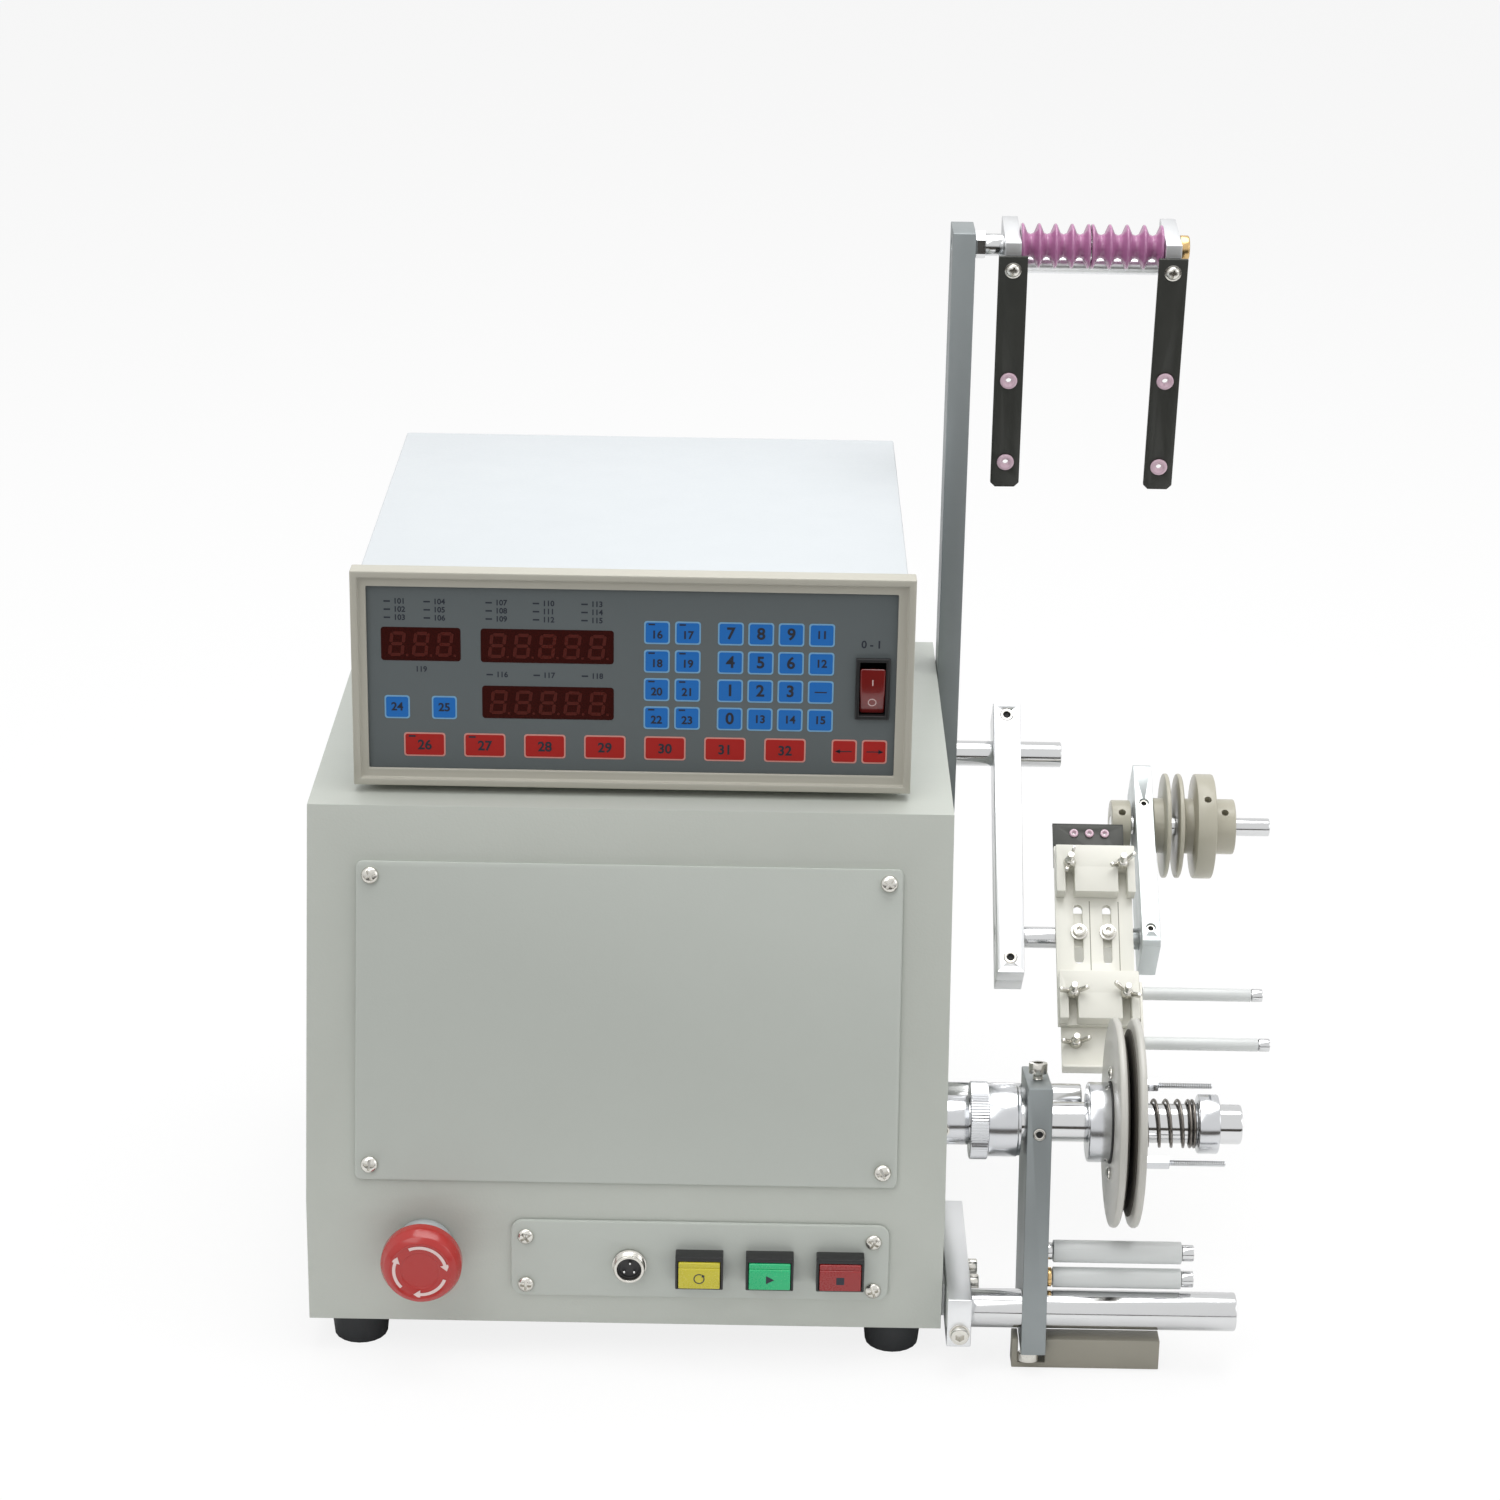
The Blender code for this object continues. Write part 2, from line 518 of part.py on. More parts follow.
@dataclass
class WireStand:
    """The tall flat bar on the cabinet's side with its ceramic rollers and its eyelet plates."""

    arm_x: tuple = (160.4 * MM, 172.4 * MM)
    arm_y: tuple = (257 * MM, 287 * MM)
    arm_z: tuple = (172 * MM, 524.4 * MM)
    axle_y: float = 272 * MM
    axle_z: float = 515.5 * MM
    axle_radius: float = 4 * MM
    axle_end: float = 286 * MM
    nut_x: tuple = (172.7 * MM, 178.3 * MM)
    nut_radius: float = 7.4 * MM
    spacer_radius: float = 5.9 * MM
    end_nut_x: tuple = (281.1 * MM, 286 * MM)
    end_nut_radius: float = 6.8 * MM
    left_block: tuple = (188 * MM, 196.5 * MM)
    right_block: tuple = (272.3 * MM, 280.8 * MM)
    block_y: tuple = (-15 * MM, 25 * MM)
    block_z: tuple = (-21 * MM, 7 * MM)
    tilt: float = radians(8.3)
    tie_yz: tuple = (13.9 * MM, -15.6 * MM)
    tie_radius: float = 5 * MM
    roller_x: tuple = ((196.9 * MM, 233.4 * MM), (234 * MM, 271.9 * MM))
    rib_radius: float = 11.8 * MM
    groove_radius: float = 6.1 * MM
    rib_width: float = 1.4 * MM
    groove_shares: tuple = (0.38, 0.62)
    ribs: int = 5
    plate_width: float = 15.4 * MM
    plate_thick: float = 2 * MM
    plate_z: tuple = (-132.4 * MM, 0)
    plate_corner: float = 2.5 * MM
    plate_shift: tuple = (0.1 * MM, 0)
    plate_swing: tuple = (radians(-0.6), 0)
    eyelet_z: tuple = ((-70.2 * MM, -117.6 * MM), (-69 * MM, -119 * MM))
    eyelet_radius: float = 3 * MM

    def build(self, rod_yz, rod_bore):
        """Every piece of the stand. The traverse rod slides through the bar's foot."""
        arm = object_from("stand_arm", block(*self.arm_x, *self.arm_y, *self.arm_z), ALUMINIUM_DULL)
        x0, x1 = self.arm_x[0] - OVER, self.arm_x[1] + OVER
        cut(arm, object_from("arm_rod_bore", pin(x0, x1, rod_bore, rod_yz)))
        cut(arm, object_from("arm_axle_bore", pin(x0, x1, self.axle_radius + GAP, (self.axle_y, self.axle_z), 16)))
        axle_at = (0, self.axle_y, self.axle_z)
        first = self.arm_x[0] + GAP
        axle = object_from("stand_axle", pin(first, self.axle_end, self.axle_radius, (0, 0), 16), STEEL, axle_at)
        nut = object_from("axle_nut", pin(*self.nut_x, self.nut_radius, (0, 0), 6), at=axle_at)
        spacer = pin(self.nut_x[1] - GAP, self.left_block[0] - GAP, self.spacer_radius, (0, 0), 16)
        spacer = object_from("axle_spacer", spacer, at=axle_at)
        end = object_from("axle_end_nut", pin(*self.end_nut_x, self.end_nut_radius, (0, 0), 6), at=axle_at)
        for extra in (nut, spacer, end):
            fuse(axle, extra)
        smooth(axle)
        self.yoke(axle_at)
        for label, (x0, x1) in zip(("left", "right"), self.roller_x):
            self.roller("ceramic_roller_" + label, x0, x1, axle_at)

    def yoke(self, axle_at):
        """The two end blocks joined by the tie bar, and the two eyelet plates on their fronts."""
        left = block(*self.left_block, *self.block_y, *self.block_z)
        right = block(*self.right_block, *self.block_y, *self.block_z)
        yoke = object_from("roller_yoke", left, ALUMINIUM, axle_at, -self.tilt)
        fuse(yoke, object_from("yoke_right_block", right, at=axle_at, lean=-self.tilt))
        middle = (self.left_block[1] - OVER, self.right_block[0] + OVER)
        fuse(yoke, object_from("yoke_tie", pin(*middle, self.tie_radius, self.tie_yz, 16), at=axle_at, lean=-self.tilt))
        bore = pin(self.left_block[0] - OVER, self.right_block[1] + OVER, self.axle_radius + GAP, (0, 0), 16)
        cut(yoke, object_from("yoke_bore", bore, at=axle_at, lean=-self.tilt))
        y1 = self.block_y[0] - GAP
        sides = (self.left_block, self.right_block)
        fitted = zip(("left", "right"), sides, self.plate_shift, self.plate_swing, self.eyelet_z)
        for label, (a, b), shift, swing, eyes in fitted:
            middle = (a + b) / 2 + shift
            half = self.plate_width / 2
            corner = self.plate_corner
            z0, z1 = self.plate_z
            outline = [(middle - half + corner, z0), (middle + half - corner, z0), (middle + half, z0 + corner),
                       (middle + half, z1), (middle - half, z1), (middle - half, z0 + corner)]
            shape = swung(prism(outline, y1 - self.plate_thick, y1, "Y"), middle, swing)
            plate = object_from(f"eyelet_plate_{label}", shape, DARK_STEEL, axle_at, -self.tilt)
            for i, z in enumerate(eyes):
                hole = pin(y1 - self.plate_thick - OVER, y1 + OVER, self.eyelet_radius, (middle, z), 10, "Y")
                hole = swung(hole, middle, swing)
                cut(plate, object_from(f"eyelet_hole_{label}_{i}", hole, at=axle_at, lean=-self.tilt))

    def roller(self, name, x0, x1, axle_at):
        """A ceramic roller with five ribs, free on the axle."""
        bore = self.axle_radius + GAP
        pitch = (x1 - x0 - self.rib_width) / (self.ribs - 1)
        profile = [(x0, bore)]
        for i in range(self.ribs):
            a = x0 + i * pitch
            profile += [(a, self.rib_radius), (a + self.rib_width, self.rib_radius)]
            if i < self.ribs - 1:
                near, far = (a + self.rib_width / 2 + pitch * share for share in self.groove_shares)
                profile += [(near, self.groove_radius), (far, self.groove_radius)]
        profile += [(x1, bore), (x0, bore)]
        smooth(object_from(name, turned(profile, (0, 0), 20), CERAMIC, axle_at))


@dataclass
class Traverse:
    """The rod that carries the wire guide along the spindle, with everything clamped to it."""

    rod_yz: tuple = (272 * MM, 228.2 * MM)
    rod_radius: float = 7 * MM
    rod_x: tuple = (46 * MM, 231.1 * MM)
    link_x: tuple = (193.1 * MM, 208.1 * MM)
    link_lean: float = radians(45.5)
    link_z: tuple = (-135.6 * MM, 25.2 * MM)
    link_half: float = 12.3 * MM
    link_span: float = 109.8 * MM
    slit: float = 0.8 * MM
    cross_radius: float = 5.8 * MM
    cross_x: tuple = (193.5 * MM, 281 * MM)
    plate_lean: float = radians(48)
    plate_x: tuple = (225.3 * MM, 267 * MM)
    plate_y: tuple = (-13 * MM, -9.6 * MM)
    plate_z: tuple = (-57 * MM, 49 * MM)
    slot_x: tuple = ((234.9 * MM, 239.9 * MM), (250.6 * MM, 255.4 * MM))
    slot_z: tuple = (-21.2 * MM, 14 * MM)
    clamp_x: tuple = (231 * MM, 262 * MM)
    clamp_half: float = 10 * MM
    pad_thick: float = 8.4 * MM
    upper_pad_z: tuple = (18 * MM, 46 * MM)
    lower_pad_z: tuple = (-56.6 * MM, -28.6 * MM)
    pad_x: tuple = (225.6 * MM, 268.3 * MM)
    notch_x: tuple = ((230.4 * MM, 235.4 * MM), (259 * MM, 264 * MM))
    notch_depth: float = 15 * MM
    nut_shift: tuple = (0, -2.2 * MM)
    wing_radius: float = 3.4 * MM
    wing_out: float = 7 * MM
    wing_span: float = 7.5 * MM
    wing_thick: float = 1.6 * MM
    wing_boss_share: float = 0.6
    wing_foot_share: float = 0.15
    stud_radius: float = 1.9 * MM
    stud_out: float = 11 * MM
    wing_turns: tuple = (80, 35, 20, 150, 8)
    strip_x: tuple = (225.2 * MM, 264 * MM)
    strip_z: tuple = (38 * MM, 63.6 * MM)
    strip_thick: float = 1.5 * MM
    strip_lip: float = 1 * MM
    strip_eye_x: tuple = (236.8 * MM, 245.3 * MM, 253.7 * MM)
    strip_eye_z: float = 58.8 * MM
    strip_eye_radius: float = 1.7 * MM
    bracket_x: tuple = (227 * MM, 270.1 * MM)
    bracket_z: tuple = (-83 * MM, -34 * MM)
    bracket_lip: float = 7 * MM
    bracket_flange_y: float = -19 * MM
    roller_yz: tuple = ((-14.7 * MM, -38.8 * MM), (-12.5 * MM, -66.6 * MM))
    roller_end: tuple = (328.4 * MM, 331.2 * MM)
    roller_radius: float = 3.5 * MM
    roller_pin_radius: float = 2 * MM
    roller_nut: float = 6.2 * MM
    guide_lean: float = radians(55)
    guide_x: tuple = (271.3 * MM, 281.2 * MM)
    guide_half: float = 17.3 * MM
    guide_z: tuple = (-13.8 * MM, 104.4 * MM)
    guide_cut: float = 2.5 * MM
    guide_span: float = 74.2 * MM
    axle_radius: float = 5 * MM
    axle_x: tuple = (258.8 * MM, 347 * MM)
    collar_x: tuple = (258.8 * MM, 269.4 * MM)
    collar_radius: float = 13.8 * MM
    hub_radius: float = 15.3 * MM
    flange_radius: float = 29 * MM
    inner_x: tuple = (281.6 * MM, 287.6 * MM, 290 * MM)
    outer_x: tuple = (294.8 * MM, 297.2 * MM, 304.2 * MM, 314.9 * MM, 327.1 * MM)
    carriage_x: tuple = (40 * MM, 70 * MM)
    carriage_y: tuple = (-26 * MM, 10 * MM)
    carriage_z: tuple = (-12 * MM, 12 * MM)
    screw_y: float = -18 * MM
    screw_radius: float = 4 * MM
    screw_end: float = 138 * MM
    motor_x: tuple = (-118 * MM, -78 * MM)
    motor_half: float = 20 * MM
    motor_plate: float = 3 * MM
    motor_plate_bottom: float = 20.6 * MM

    def build(self):
        """Every piece of the traverse."""
        at = (0, *self.rod_yz)
        rod = smooth(object_from("traverse_rod", pin(*self.rod_x, self.rod_radius), STEEL, at))
        carriage = block(*self.carriage_x, *self.carriage_y, *self.carriage_z)
        fuse(rod, object_from("rod_carriage", carriage, at=at))
        nut = pin(self.carriage_x[0] - OVER, self.carriage_x[1] + OVER, self.screw_radius + GAP, (self.screw_y, 0), 16)
        cut(rod, object_from("carriage_nut_bore", nut, at=at))
        screw_at = (0, self.rod_yz[0] + self.screw_y, self.rod_yz[1])
        screw = pin(self.motor_x[1] + GAP, self.screw_end, self.screw_radius, (0, 0), 16)
        smooth(object_from("lead_screw", screw, STEEL, screw_at))
        half = self.motor_half
        motor = object_from("traverse_motor", block(*self.motor_x, -half, half, -half, half), BLACK_PLASTIC, screw_at)
        face = self.motor_x[1]
        low = self.motor_plate_bottom - self.rod_yz[1]
        plate = block(face - GAP, face + self.motor_plate, -half, half, low, half)
        fuse(motor, object_from("traverse_motor_plate", plate, at=screw_at))
        bore = pin(face, face + self.motor_plate + OVER, self.screw_radius + GAP, (0, 0), 16)
        cut(motor, object_from("motor_plate_bore", bore, at=screw_at))
        self.link(at)
        cross = self.below(self.rod_yz, self.link_lean, self.link_span)
        cross_at = (0, *cross)
        smooth(object_from("cross_rod", pin(*self.cross_x, self.cross_radius), STEEL, cross_at))
        self.tension_plate(cross_at)
        self.pads(cross_at)
        self.eyelet_strip(cross_at)
        self.roller_bracket(cross_at)
        self.guide_arm(cross_at)
        axle = self.below(cross, self.guide_lean, -self.guide_span)
        self.pulley((0, *axle))

    def below(self, yz, lean, distance):
        """The place this far down a bar that leans back by this angle."""
        return (yz[0] - distance * sin(lean), yz[1] - distance * cos(lean))

    def link(self, at):
        """The bar that hangs from the rod, split and clamped at both ends."""
        half = self.link_half
        (x0, x1), (z0, z1) = self.link_x, self.link_z
        link = object_from("link_bar", block(x0, x1, -half, half, z0, z1), ALUMINIUM, at, self.link_lean)
        cuts = {
            "upper_bore": pin(x0 - OVER, x1 + OVER, self.rod_radius + GAP),
            "lower_bore": pin(x0 - OVER, x1 + OVER, self.cross_radius + GAP, (0, -self.link_span)),
            "upper_slit": block(x0 - OVER, x1 + OVER, -self.slit / 2, self.slit / 2, 0, z1 + OVER),
            "lower_slit": block(x0 - OVER, x1 + OVER, -self.slit / 2, self.slit / 2, z0 - OVER, -self.link_span),
        }
        for name, shape in cuts.items():
            cut(link, object_from("link_" + name, shape, at=at, lean=self.link_lean))

    def tension_plate(self, at):
        """The slotted plate with the block that clamps it on the cross rod."""
        y0, y1 = self.plate_y
        plate = object_from("tension_plate", block(*self.plate_x, y0, y1, *self.plate_z), CREAM, at, self.plate_lean)
        for i, (x0, x1) in enumerate(self.slot_x):
            slot = prism(rounded(x0, x1, *self.slot_z, (x1 - x0) / 2 - GAP / 10, 2), y0 - OVER, y1 + GAP, "Y")
            cut(plate, object_from(f"plate_slot_{i}", slot, at=at, lean=self.plate_lean))
        half = self.clamp_half
        clamp = block(*self.clamp_x, y1 - GAP, half, -half, half)
        fuse(plate, object_from("plate_clamp", clamp, at=at, lean=self.plate_lean))
        bore = pin(self.clamp_x[0] - OVER, self.clamp_x[1] + OVER, self.cross_radius + GAP)
        cut(plate, object_from("clamp_bore", bore, at=at, lean=self.plate_lean))

    def pads(self, at):
        """The two felt-faced clamp pads with their studs and wing nuts."""
        y1 = self.plate_y[0] - GAP
        y0 = y1 - self.pad_thick
        turns = iter(self.wing_turns)
        pads = zip(("upper", "lower"), (self.upper_pad_z, self.lower_pad_z), self.nut_shift)
        for label, (z0, z1), shift in pads:
            pad = object_from(f"clamp_pad_{label}", block(*self.pad_x, y0, y1, z0, z1), CREAM, at, self.plate_lean)
            for i, (a, b) in enumerate(self.notch_x):
                notch = block(a, b, y0 - OVER, y1 + OVER, z0 - OVER, z0 + self.notch_depth)
                cut(pad, object_from(f"pad_notch_{label}_{i}", notch, at=at, lean=self.plate_lean))
            for i, (a, b) in enumerate(self.notch_x):
                z = z0 + self.notch_depth + self.stud_radius + shift
                self.wing_nut(pad, f"{label}_{i}", (a + b) / 2, z, y0, next(turns), at)

    def wing_nut(self, owner, label, x, z, y, turn, at):
        """A wing nut on its stud, one body with the piece that it clamps."""
        stud = pin(y - self.stud_out, y + OVER, self.stud_radius, (x, z), 8, "Y")
        boss = pin(y - self.wing_out * self.wing_boss_share, y + GAP, self.wing_radius, (x, z), 10, "Y")
        half = self.wing_thick / 2
        foot = -self.wing_out * self.wing_foot_share
        wing = block(-self.wing_span, self.wing_span, -self.wing_out, foot, -half, half)
        bmesh.ops.rotate(wing, verts=wing.verts, cent=(0, 0, 0), matrix=Matrix.Rotation(radians(turn), 3, "Y"))
        bmesh.ops.translate(wing, verts=wing.verts, vec=(x, y, z))
        for name, shape in (("stud", stud), ("boss", boss), ("wing", wing)):
            fuse(owner, object_from(f"{name}_{label}", shape, at=at, lean=self.plate_lean))

    def eyelet_strip(self, at):
        """The dark strip above the plate whose three ceramic eyes lead the wire in."""
        y0 = self.plate_y[1] + GAP
        y1 = y0 + self.strip_thick
        z0, z1 = self.strip_z
        outline = [(y0, z0), (y1, z0), (y1, z1 - self.strip_thick), (y1 + self.strip_lip, z1 + self.strip_lip),
                   (y1 + self.strip_lip - self.strip_thick, z1 + self.strip_lip + self.strip_thick / 2), (y0, z1)]
        strip = object_from("eyelet_strip", prism(outline, *self.strip_x), DARK_STEEL, at, self.plate_lean)
        for i, x in enumerate(self.strip_eye_x):
            hole = pin(y0 - OVER, y1 + OVER, self.strip_eye_radius, (x, self.strip_eye_z), 8, "Y")
            cut(strip, object_from(f"strip_eye_{i}", hole, at=at, lean=self.plate_lean))

    def roller_bracket(self, at):
        """The bent sheet below the plate that carries the two white guide rollers on their pins."""
        y0 = self.plate_y[1] + GAP
        y1 = y0 + self.strip_thick
        z0, z1 = self.bracket_z
        x0, x1 = self.bracket_x
        outline = [(y0, z0 + self.strip_thick), (y1, z0), (y1, z1), (y0, z1)]
        bracket = object_from("roller_bracket", prism(outline, x0, x1), PAINT, at, self.plate_lean)
        lip = [(y0, z0 + self.strip_thick), (y1, z0), (y0 - self.bracket_lip, z0 - self.strip_thick),
               (y0 - self.bracket_lip, z0)]
        fuse(bracket, object_from("bracket_lip", prism(lip, x0, x1 - self.strip_thick * 2), at=at, lean=self.plate_lean))
        low = min(z for _, z in self.roller_yz) - 2 * self.roller_radius
        flange = block(x1 - self.strip_thick, x1, self.bracket_flange_y, y1, low, z1)
        fuse(bracket, object_from("bracket_flange", flange, at=at, lean=self.plate_lean))
        for i, ((y, z), end) in enumerate(zip(self.roller_yz, self.roller_end)):
            stem = pin(x1 - self.strip_thick / 2, end + self.roller_nut / 2, self.roller_pin_radius, (y, z), 10)
            nut = pin(end + GAP, end + self.roller_nut, self.roller_radius, (y, z), 12)
            fuse(bracket, object_from(f"roller_pin_{i}", stem, at=at, lean=self.plate_lean))
            fuse(bracket, object_from(f"roller_nut_{i}", nut, at=at, lean=self.plate_lean))
            place = Matrix.Translation(at) @ Matrix.Rotation(-self.plate_lean, 4, "X") @ Vector((0, y, z))
            sleeve = tube(x1 + GAP, end, self.roller_pin_radius + GAP, self.roller_radius, 14)
            smooth(object_from(f"guide_roller_{i + 1}", sleeve, WHITE_PLASTIC, tuple(place)))
        low_stud = (z0 + z1) / 2 - self.wing_span
        self.wing_nut(bracket, "bracket", x0 + self.wing_span, low_stud, y0, self.wing_turns[-1], at)

    def guide_arm(self, at):
        """The flat bar from the cross rod up to the guide pulley's axle."""
        x0, x1 = self.guide_x
        outline = chamfered(-self.guide_half, self.guide_half, *self.guide_z, self.guide_cut)
        arm = object_from("guide_arm", prism(outline, x0, x1), ALUMINIUM, at, self.guide_lean)
        low = pin(x0 - OVER, x1 + OVER, self.cross_radius + GAP)
        high = pin(x0 - OVER, x1 + OVER, self.axle_radius + GAP, (0, self.guide_span), 20)
        cut(arm, object_from("guide_low_bore", low, at=at, lean=self.guide_lean))
        cut(arm, object_from("guide_high_bore", high, at=at, lean=self.guide_lean))

    def pulley(self, at):
        """The pulley's axle with its collar, and the two flanged wheels that run on it."""
        axle = object_from("pulley_axle", pin(*self.axle_x, self.axle_radius, (0, 0), 20), STEEL, at)
        fuse(axle, object_from("axle_collar", pin(*self.collar_x, self.collar_radius), at=at))
        smooth(axle)
        bore = self.axle_radius + GAP
        a, b, c = self.inner_x
        inner = [(a, bore), (a, self.hub_radius), (b, self.hub_radius), (b, self.flange_radius),
                 (c, self.flange_radius), (c, bore), (a, bore)]
        smooth(object_from("guide_wheel_inner", turned(inner), IVORY, at))
        d, e, f, g, h = self.outer_x
        outer = [(d, bore), (d, self.flange_radius), (e, self.flange_radius), (e, self.hub_radius),
                 (f, self.hub_radius), (f, self.flange_radius), (g, self.flange_radius),
                 (g, self.hub_radius), (h, self.hub_radius), (h, bore), (d, bore)]
        smooth(object_from("guide_wheel_outer", turned(outer), IVORY, at))


def tube(x0, x1, inside, outside, steps=ROUND_STEPS):
    """A bmesh tube along X."""
    return turned([(x0, inside), (x0, outside), (x1, outside), (x1, inside), (x0, inside)], (0, 0), steps)


@dataclass
class Spindle:
    """The winding spindle with its sprung disc pair, and the outboard arm that steadies it."""

    yz: tuple = (28 * MM, 121.8 * MM)
    shaft_radius: float = 10 * MM
    shaft_x: tuple = (84 * MM, 309 * MM)
    boss_x: tuple = (146 * MM, 171.6 * MM)
    boss_radius: float = 12.4 * MM
    ring_x: tuple = (172 * MM, 181.2 * MM)
    ring_radius: float = 19.6 * MM
    ring_cut: float = 0.9 * MM
    sleeve_end: float = 197.4 * MM
    sleeve_radius: float = 18 * MM
    rear_rod_yz: tuple = (57.4 * MM, 119.8 * MM)
    rear_rod_radius: float = 8.2 * MM
    rear_rod_x: tuple = (150 * MM, 230.6 * MM)
    arm_x: tuple = (200.1 * MM, 212.5 * MM)
    arm_back_shift: float = 0.8 * MM
    arm_y: tuple = (-18.5 * MM, 31 * MM)
    arm_z: tuple = (-116.6 * MM, 21 * MM)
    arm_lean: float = radians(12)
    base_yz: tuple = (1 * MM, 30 * MM)
    arm_screw_radius: tuple = (4.7 * MM, 5.2 * MM)
    arm_screw_head: tuple = (5.4 * MM, 4.5 * MM)
    arm_screw_neck: float = 3.2 * MM
    arm_screw_y: tuple = (2.5 * MM, -12 * MM)
    arm_screw_shift: tuple = (0, -2.1 * MM)
    base_radius: float = 9.8 * MM
    base_x: tuple = (163.2 * MM, 308.5 * MM)
    bracket_x: tuple = (162.2 * MM, 174.4 * MM)
    bracket_y: tuple = (-16 * MM, 92 * MM)
    bracket_foot_y: tuple = (8 * MM, 84 * MM)
    bracket_foot: float = 9 * MM
    bracket_wall: float = 160.4 * MM
    bracket_half: float = 13.2 * MM
    bar_x: tuple = (196 * MM, 270.4 * MM)
    bar_y: tuple = (-8 * MM, 3.5 * MM)
    bar_z: tuple = (1.1 * MM, 17.2 * MM)
    bar_bridge: float = 2.8 * MM
    roller_yz: tuple = ((9.3 * MM, 58.4 * MM), (5.5 * MM, 45.7 * MM))
    roller_x: tuple = (215.8 * MM, 280.6 * MM)
    roller_radius: tuple = (5.7 * MM, 5.2 * MM)
    roller_pin: float = 2.5 * MM
    roller_nut: float = 6.2 * MM
    roller_nut_radius: float = 4.2 * MM
    roller_collar_radius: float = 4.4 * MM
    hub_x: tuple = (231.4 * MM, 243 * MM)
    hub_radius: float = 20.1 * MM
    hub_cut: float = 0.8 * MM
    disc_radius: float = 52.8 * MM
    lining_radius: float = 47.5 * MM
    lining_face_radius: float = 42.8 * MM
    inner_disc_x: tuple = (243.3 * MM, 247.1 * MM, 249 * MM)
    outer_disc_x: tuple = (251 * MM, 253 * MM, 256.8 * MM)
    stud_yz: tuple = ((20 * MM, 11.4 * MM), (-20 * MM, -12.2 * MM))
    stud_radius: float = 1.5 * MM
    stud_end: tuple = (296 * MM, 299.6 * MM)
    hex_end: tuple = (268.6 * MM, 271.5 * MM)
    hex_radius: float = 3.4 * MM
    spring_x: tuple = (258 * MM, 286 * MM)
    spring_radius: float = 11.7 * MM
    spring_wire: float = 0.66 * MM
    spring_open_turns: int = 4
    spring_closed_turns: int = 2
    spring_closed_pitch: float = 2.1 * MM
    spring_points: int = 9
    collar_x: tuple = (286.9 * MM, 297.2 * MM)
    collar_radius: float = 14.9 * MM
    pulley_x: tuple = (104 * MM, 118 * MM)
    pulley_radius: float = 13.6 * MM
    motor_yz: tuple = (150 * MM, 84 * MM)
    motor_x: tuple = (-62 * MM, 60 * MM)
    motor_radius: float = 36 * MM
    motor_boss: float = 66 * MM
    motor_boss_radius: float = 14 * MM
    motor_shaft_radius: float = 5 * MM
    motor_shaft_end: float = 102 * MM
    motor_foot_z: float = 20.6 * MM
    motor_foot_half: float = 26 * MM
    drive_x: tuple = (103.6 * MM, 118 * MM)
    belt_x: tuple = (105 * MM, 117 * MM)
    belt_thick: float = 1.6 * MM
    belt_clear: float = 0.4 * MM

    def build(self):
        """Every piece of the spindle and its support."""
        at = (0, *self.yz)
        shaft = object_from("spindle_shaft", pin(*self.shaft_x, self.shaft_radius), STEEL, at)
        fuse(shaft, object_from("shaft_pulley", pin(*self.pulley_x, self.pulley_radius), at=at))
        smooth(shaft)
        bore = self.shaft_radius + GAP
        smooth(object_from("bearing_boss", tube(*self.boss_x, bore, self.boss_radius), ALUMINIUM, at))
        rear = pin(*self.rear_rod_x, self.rear_rod_radius)
        smooth(object_from("rear_rod", rear, STEEL, (0, *self.rear_rod_yz)))
        a, b = self.ring_x
        chamfer = self.ring_cut
        ring = [(a, bore), (a, self.ring_radius - chamfer), (a + chamfer, self.ring_radius),
                (b - chamfer, self.ring_radius), (b, self.ring_radius - chamfer), (b, self.sleeve_radius),
                (self.sleeve_end, self.sleeve_radius), (self.sleeve_end, bore), (a, bore)]
        smooth(object_from("spindle_sleeve", turned(ring), STEEL, at))
        self.hub(at, bore)
        self.discs(at, bore)
        self.spring(at)
        collar = tube(*self.collar_x, bore, self.collar_radius)
        smooth(object_from("spring_collar", collar, STEEL, at))
        self.support_arm(at)
        self.drive()

    def hub(self, at, bore):
        """The clamping hub that carries the inner disc."""
        a, b = self.hub_x
        edge = self.hub_cut
        profile = [(a, bore), (a, self.hub_radius - edge), (a + edge, self.hub_radius), (b - edge, self.hub_radius),
                   (b, self.hub_radius - edge), (b, bore), (a, bore)]
        smooth(object_from("flange_hub", turned(profile), STEEL, at))

    def discs(self, at, bore):
        """The fixed and the sprung disc, each with its smooth lining, and the sprung disc's two studs."""
        a, b, c = self.inner_disc_x
        inner = [(a, bore), (a, self.disc_radius), (b, self.disc_radius), (b, self.lining_radius),
                 (c, self.lining_face_radius), (c, bore), (a, bore)]
        smooth(object_from("disc_inner", turned(inner, (0, 0), 36), CREAM, at))
        a, b, c = self.outer_disc_x
        outer = [(a, bore), (a, self.lining_face_radius), (b, self.lining_radius), (b, self.disc_radius),
                 (c, self.disc_radius), (c, bore), (a, bore)]
        disc = object_from("disc_outer", turned(outer, (0, 0), 36), CREAM, at)
        for i, (yz, hex_end, stud_end) in enumerate(zip(self.stud_yz, self.hex_end, self.stud_end)):
            nut = pin(c - GAP, hex_end, self.hex_radius, yz, 6)
            stud = pin(c - GAP, stud_end, self.stud_radius, yz, 8)
            fuse(disc, object_from(f"disc_hex_{i}", nut, at=at))
            fuse(disc, object_from(f"disc_stud_{i}", stud, at=at))
        smooth(disc)

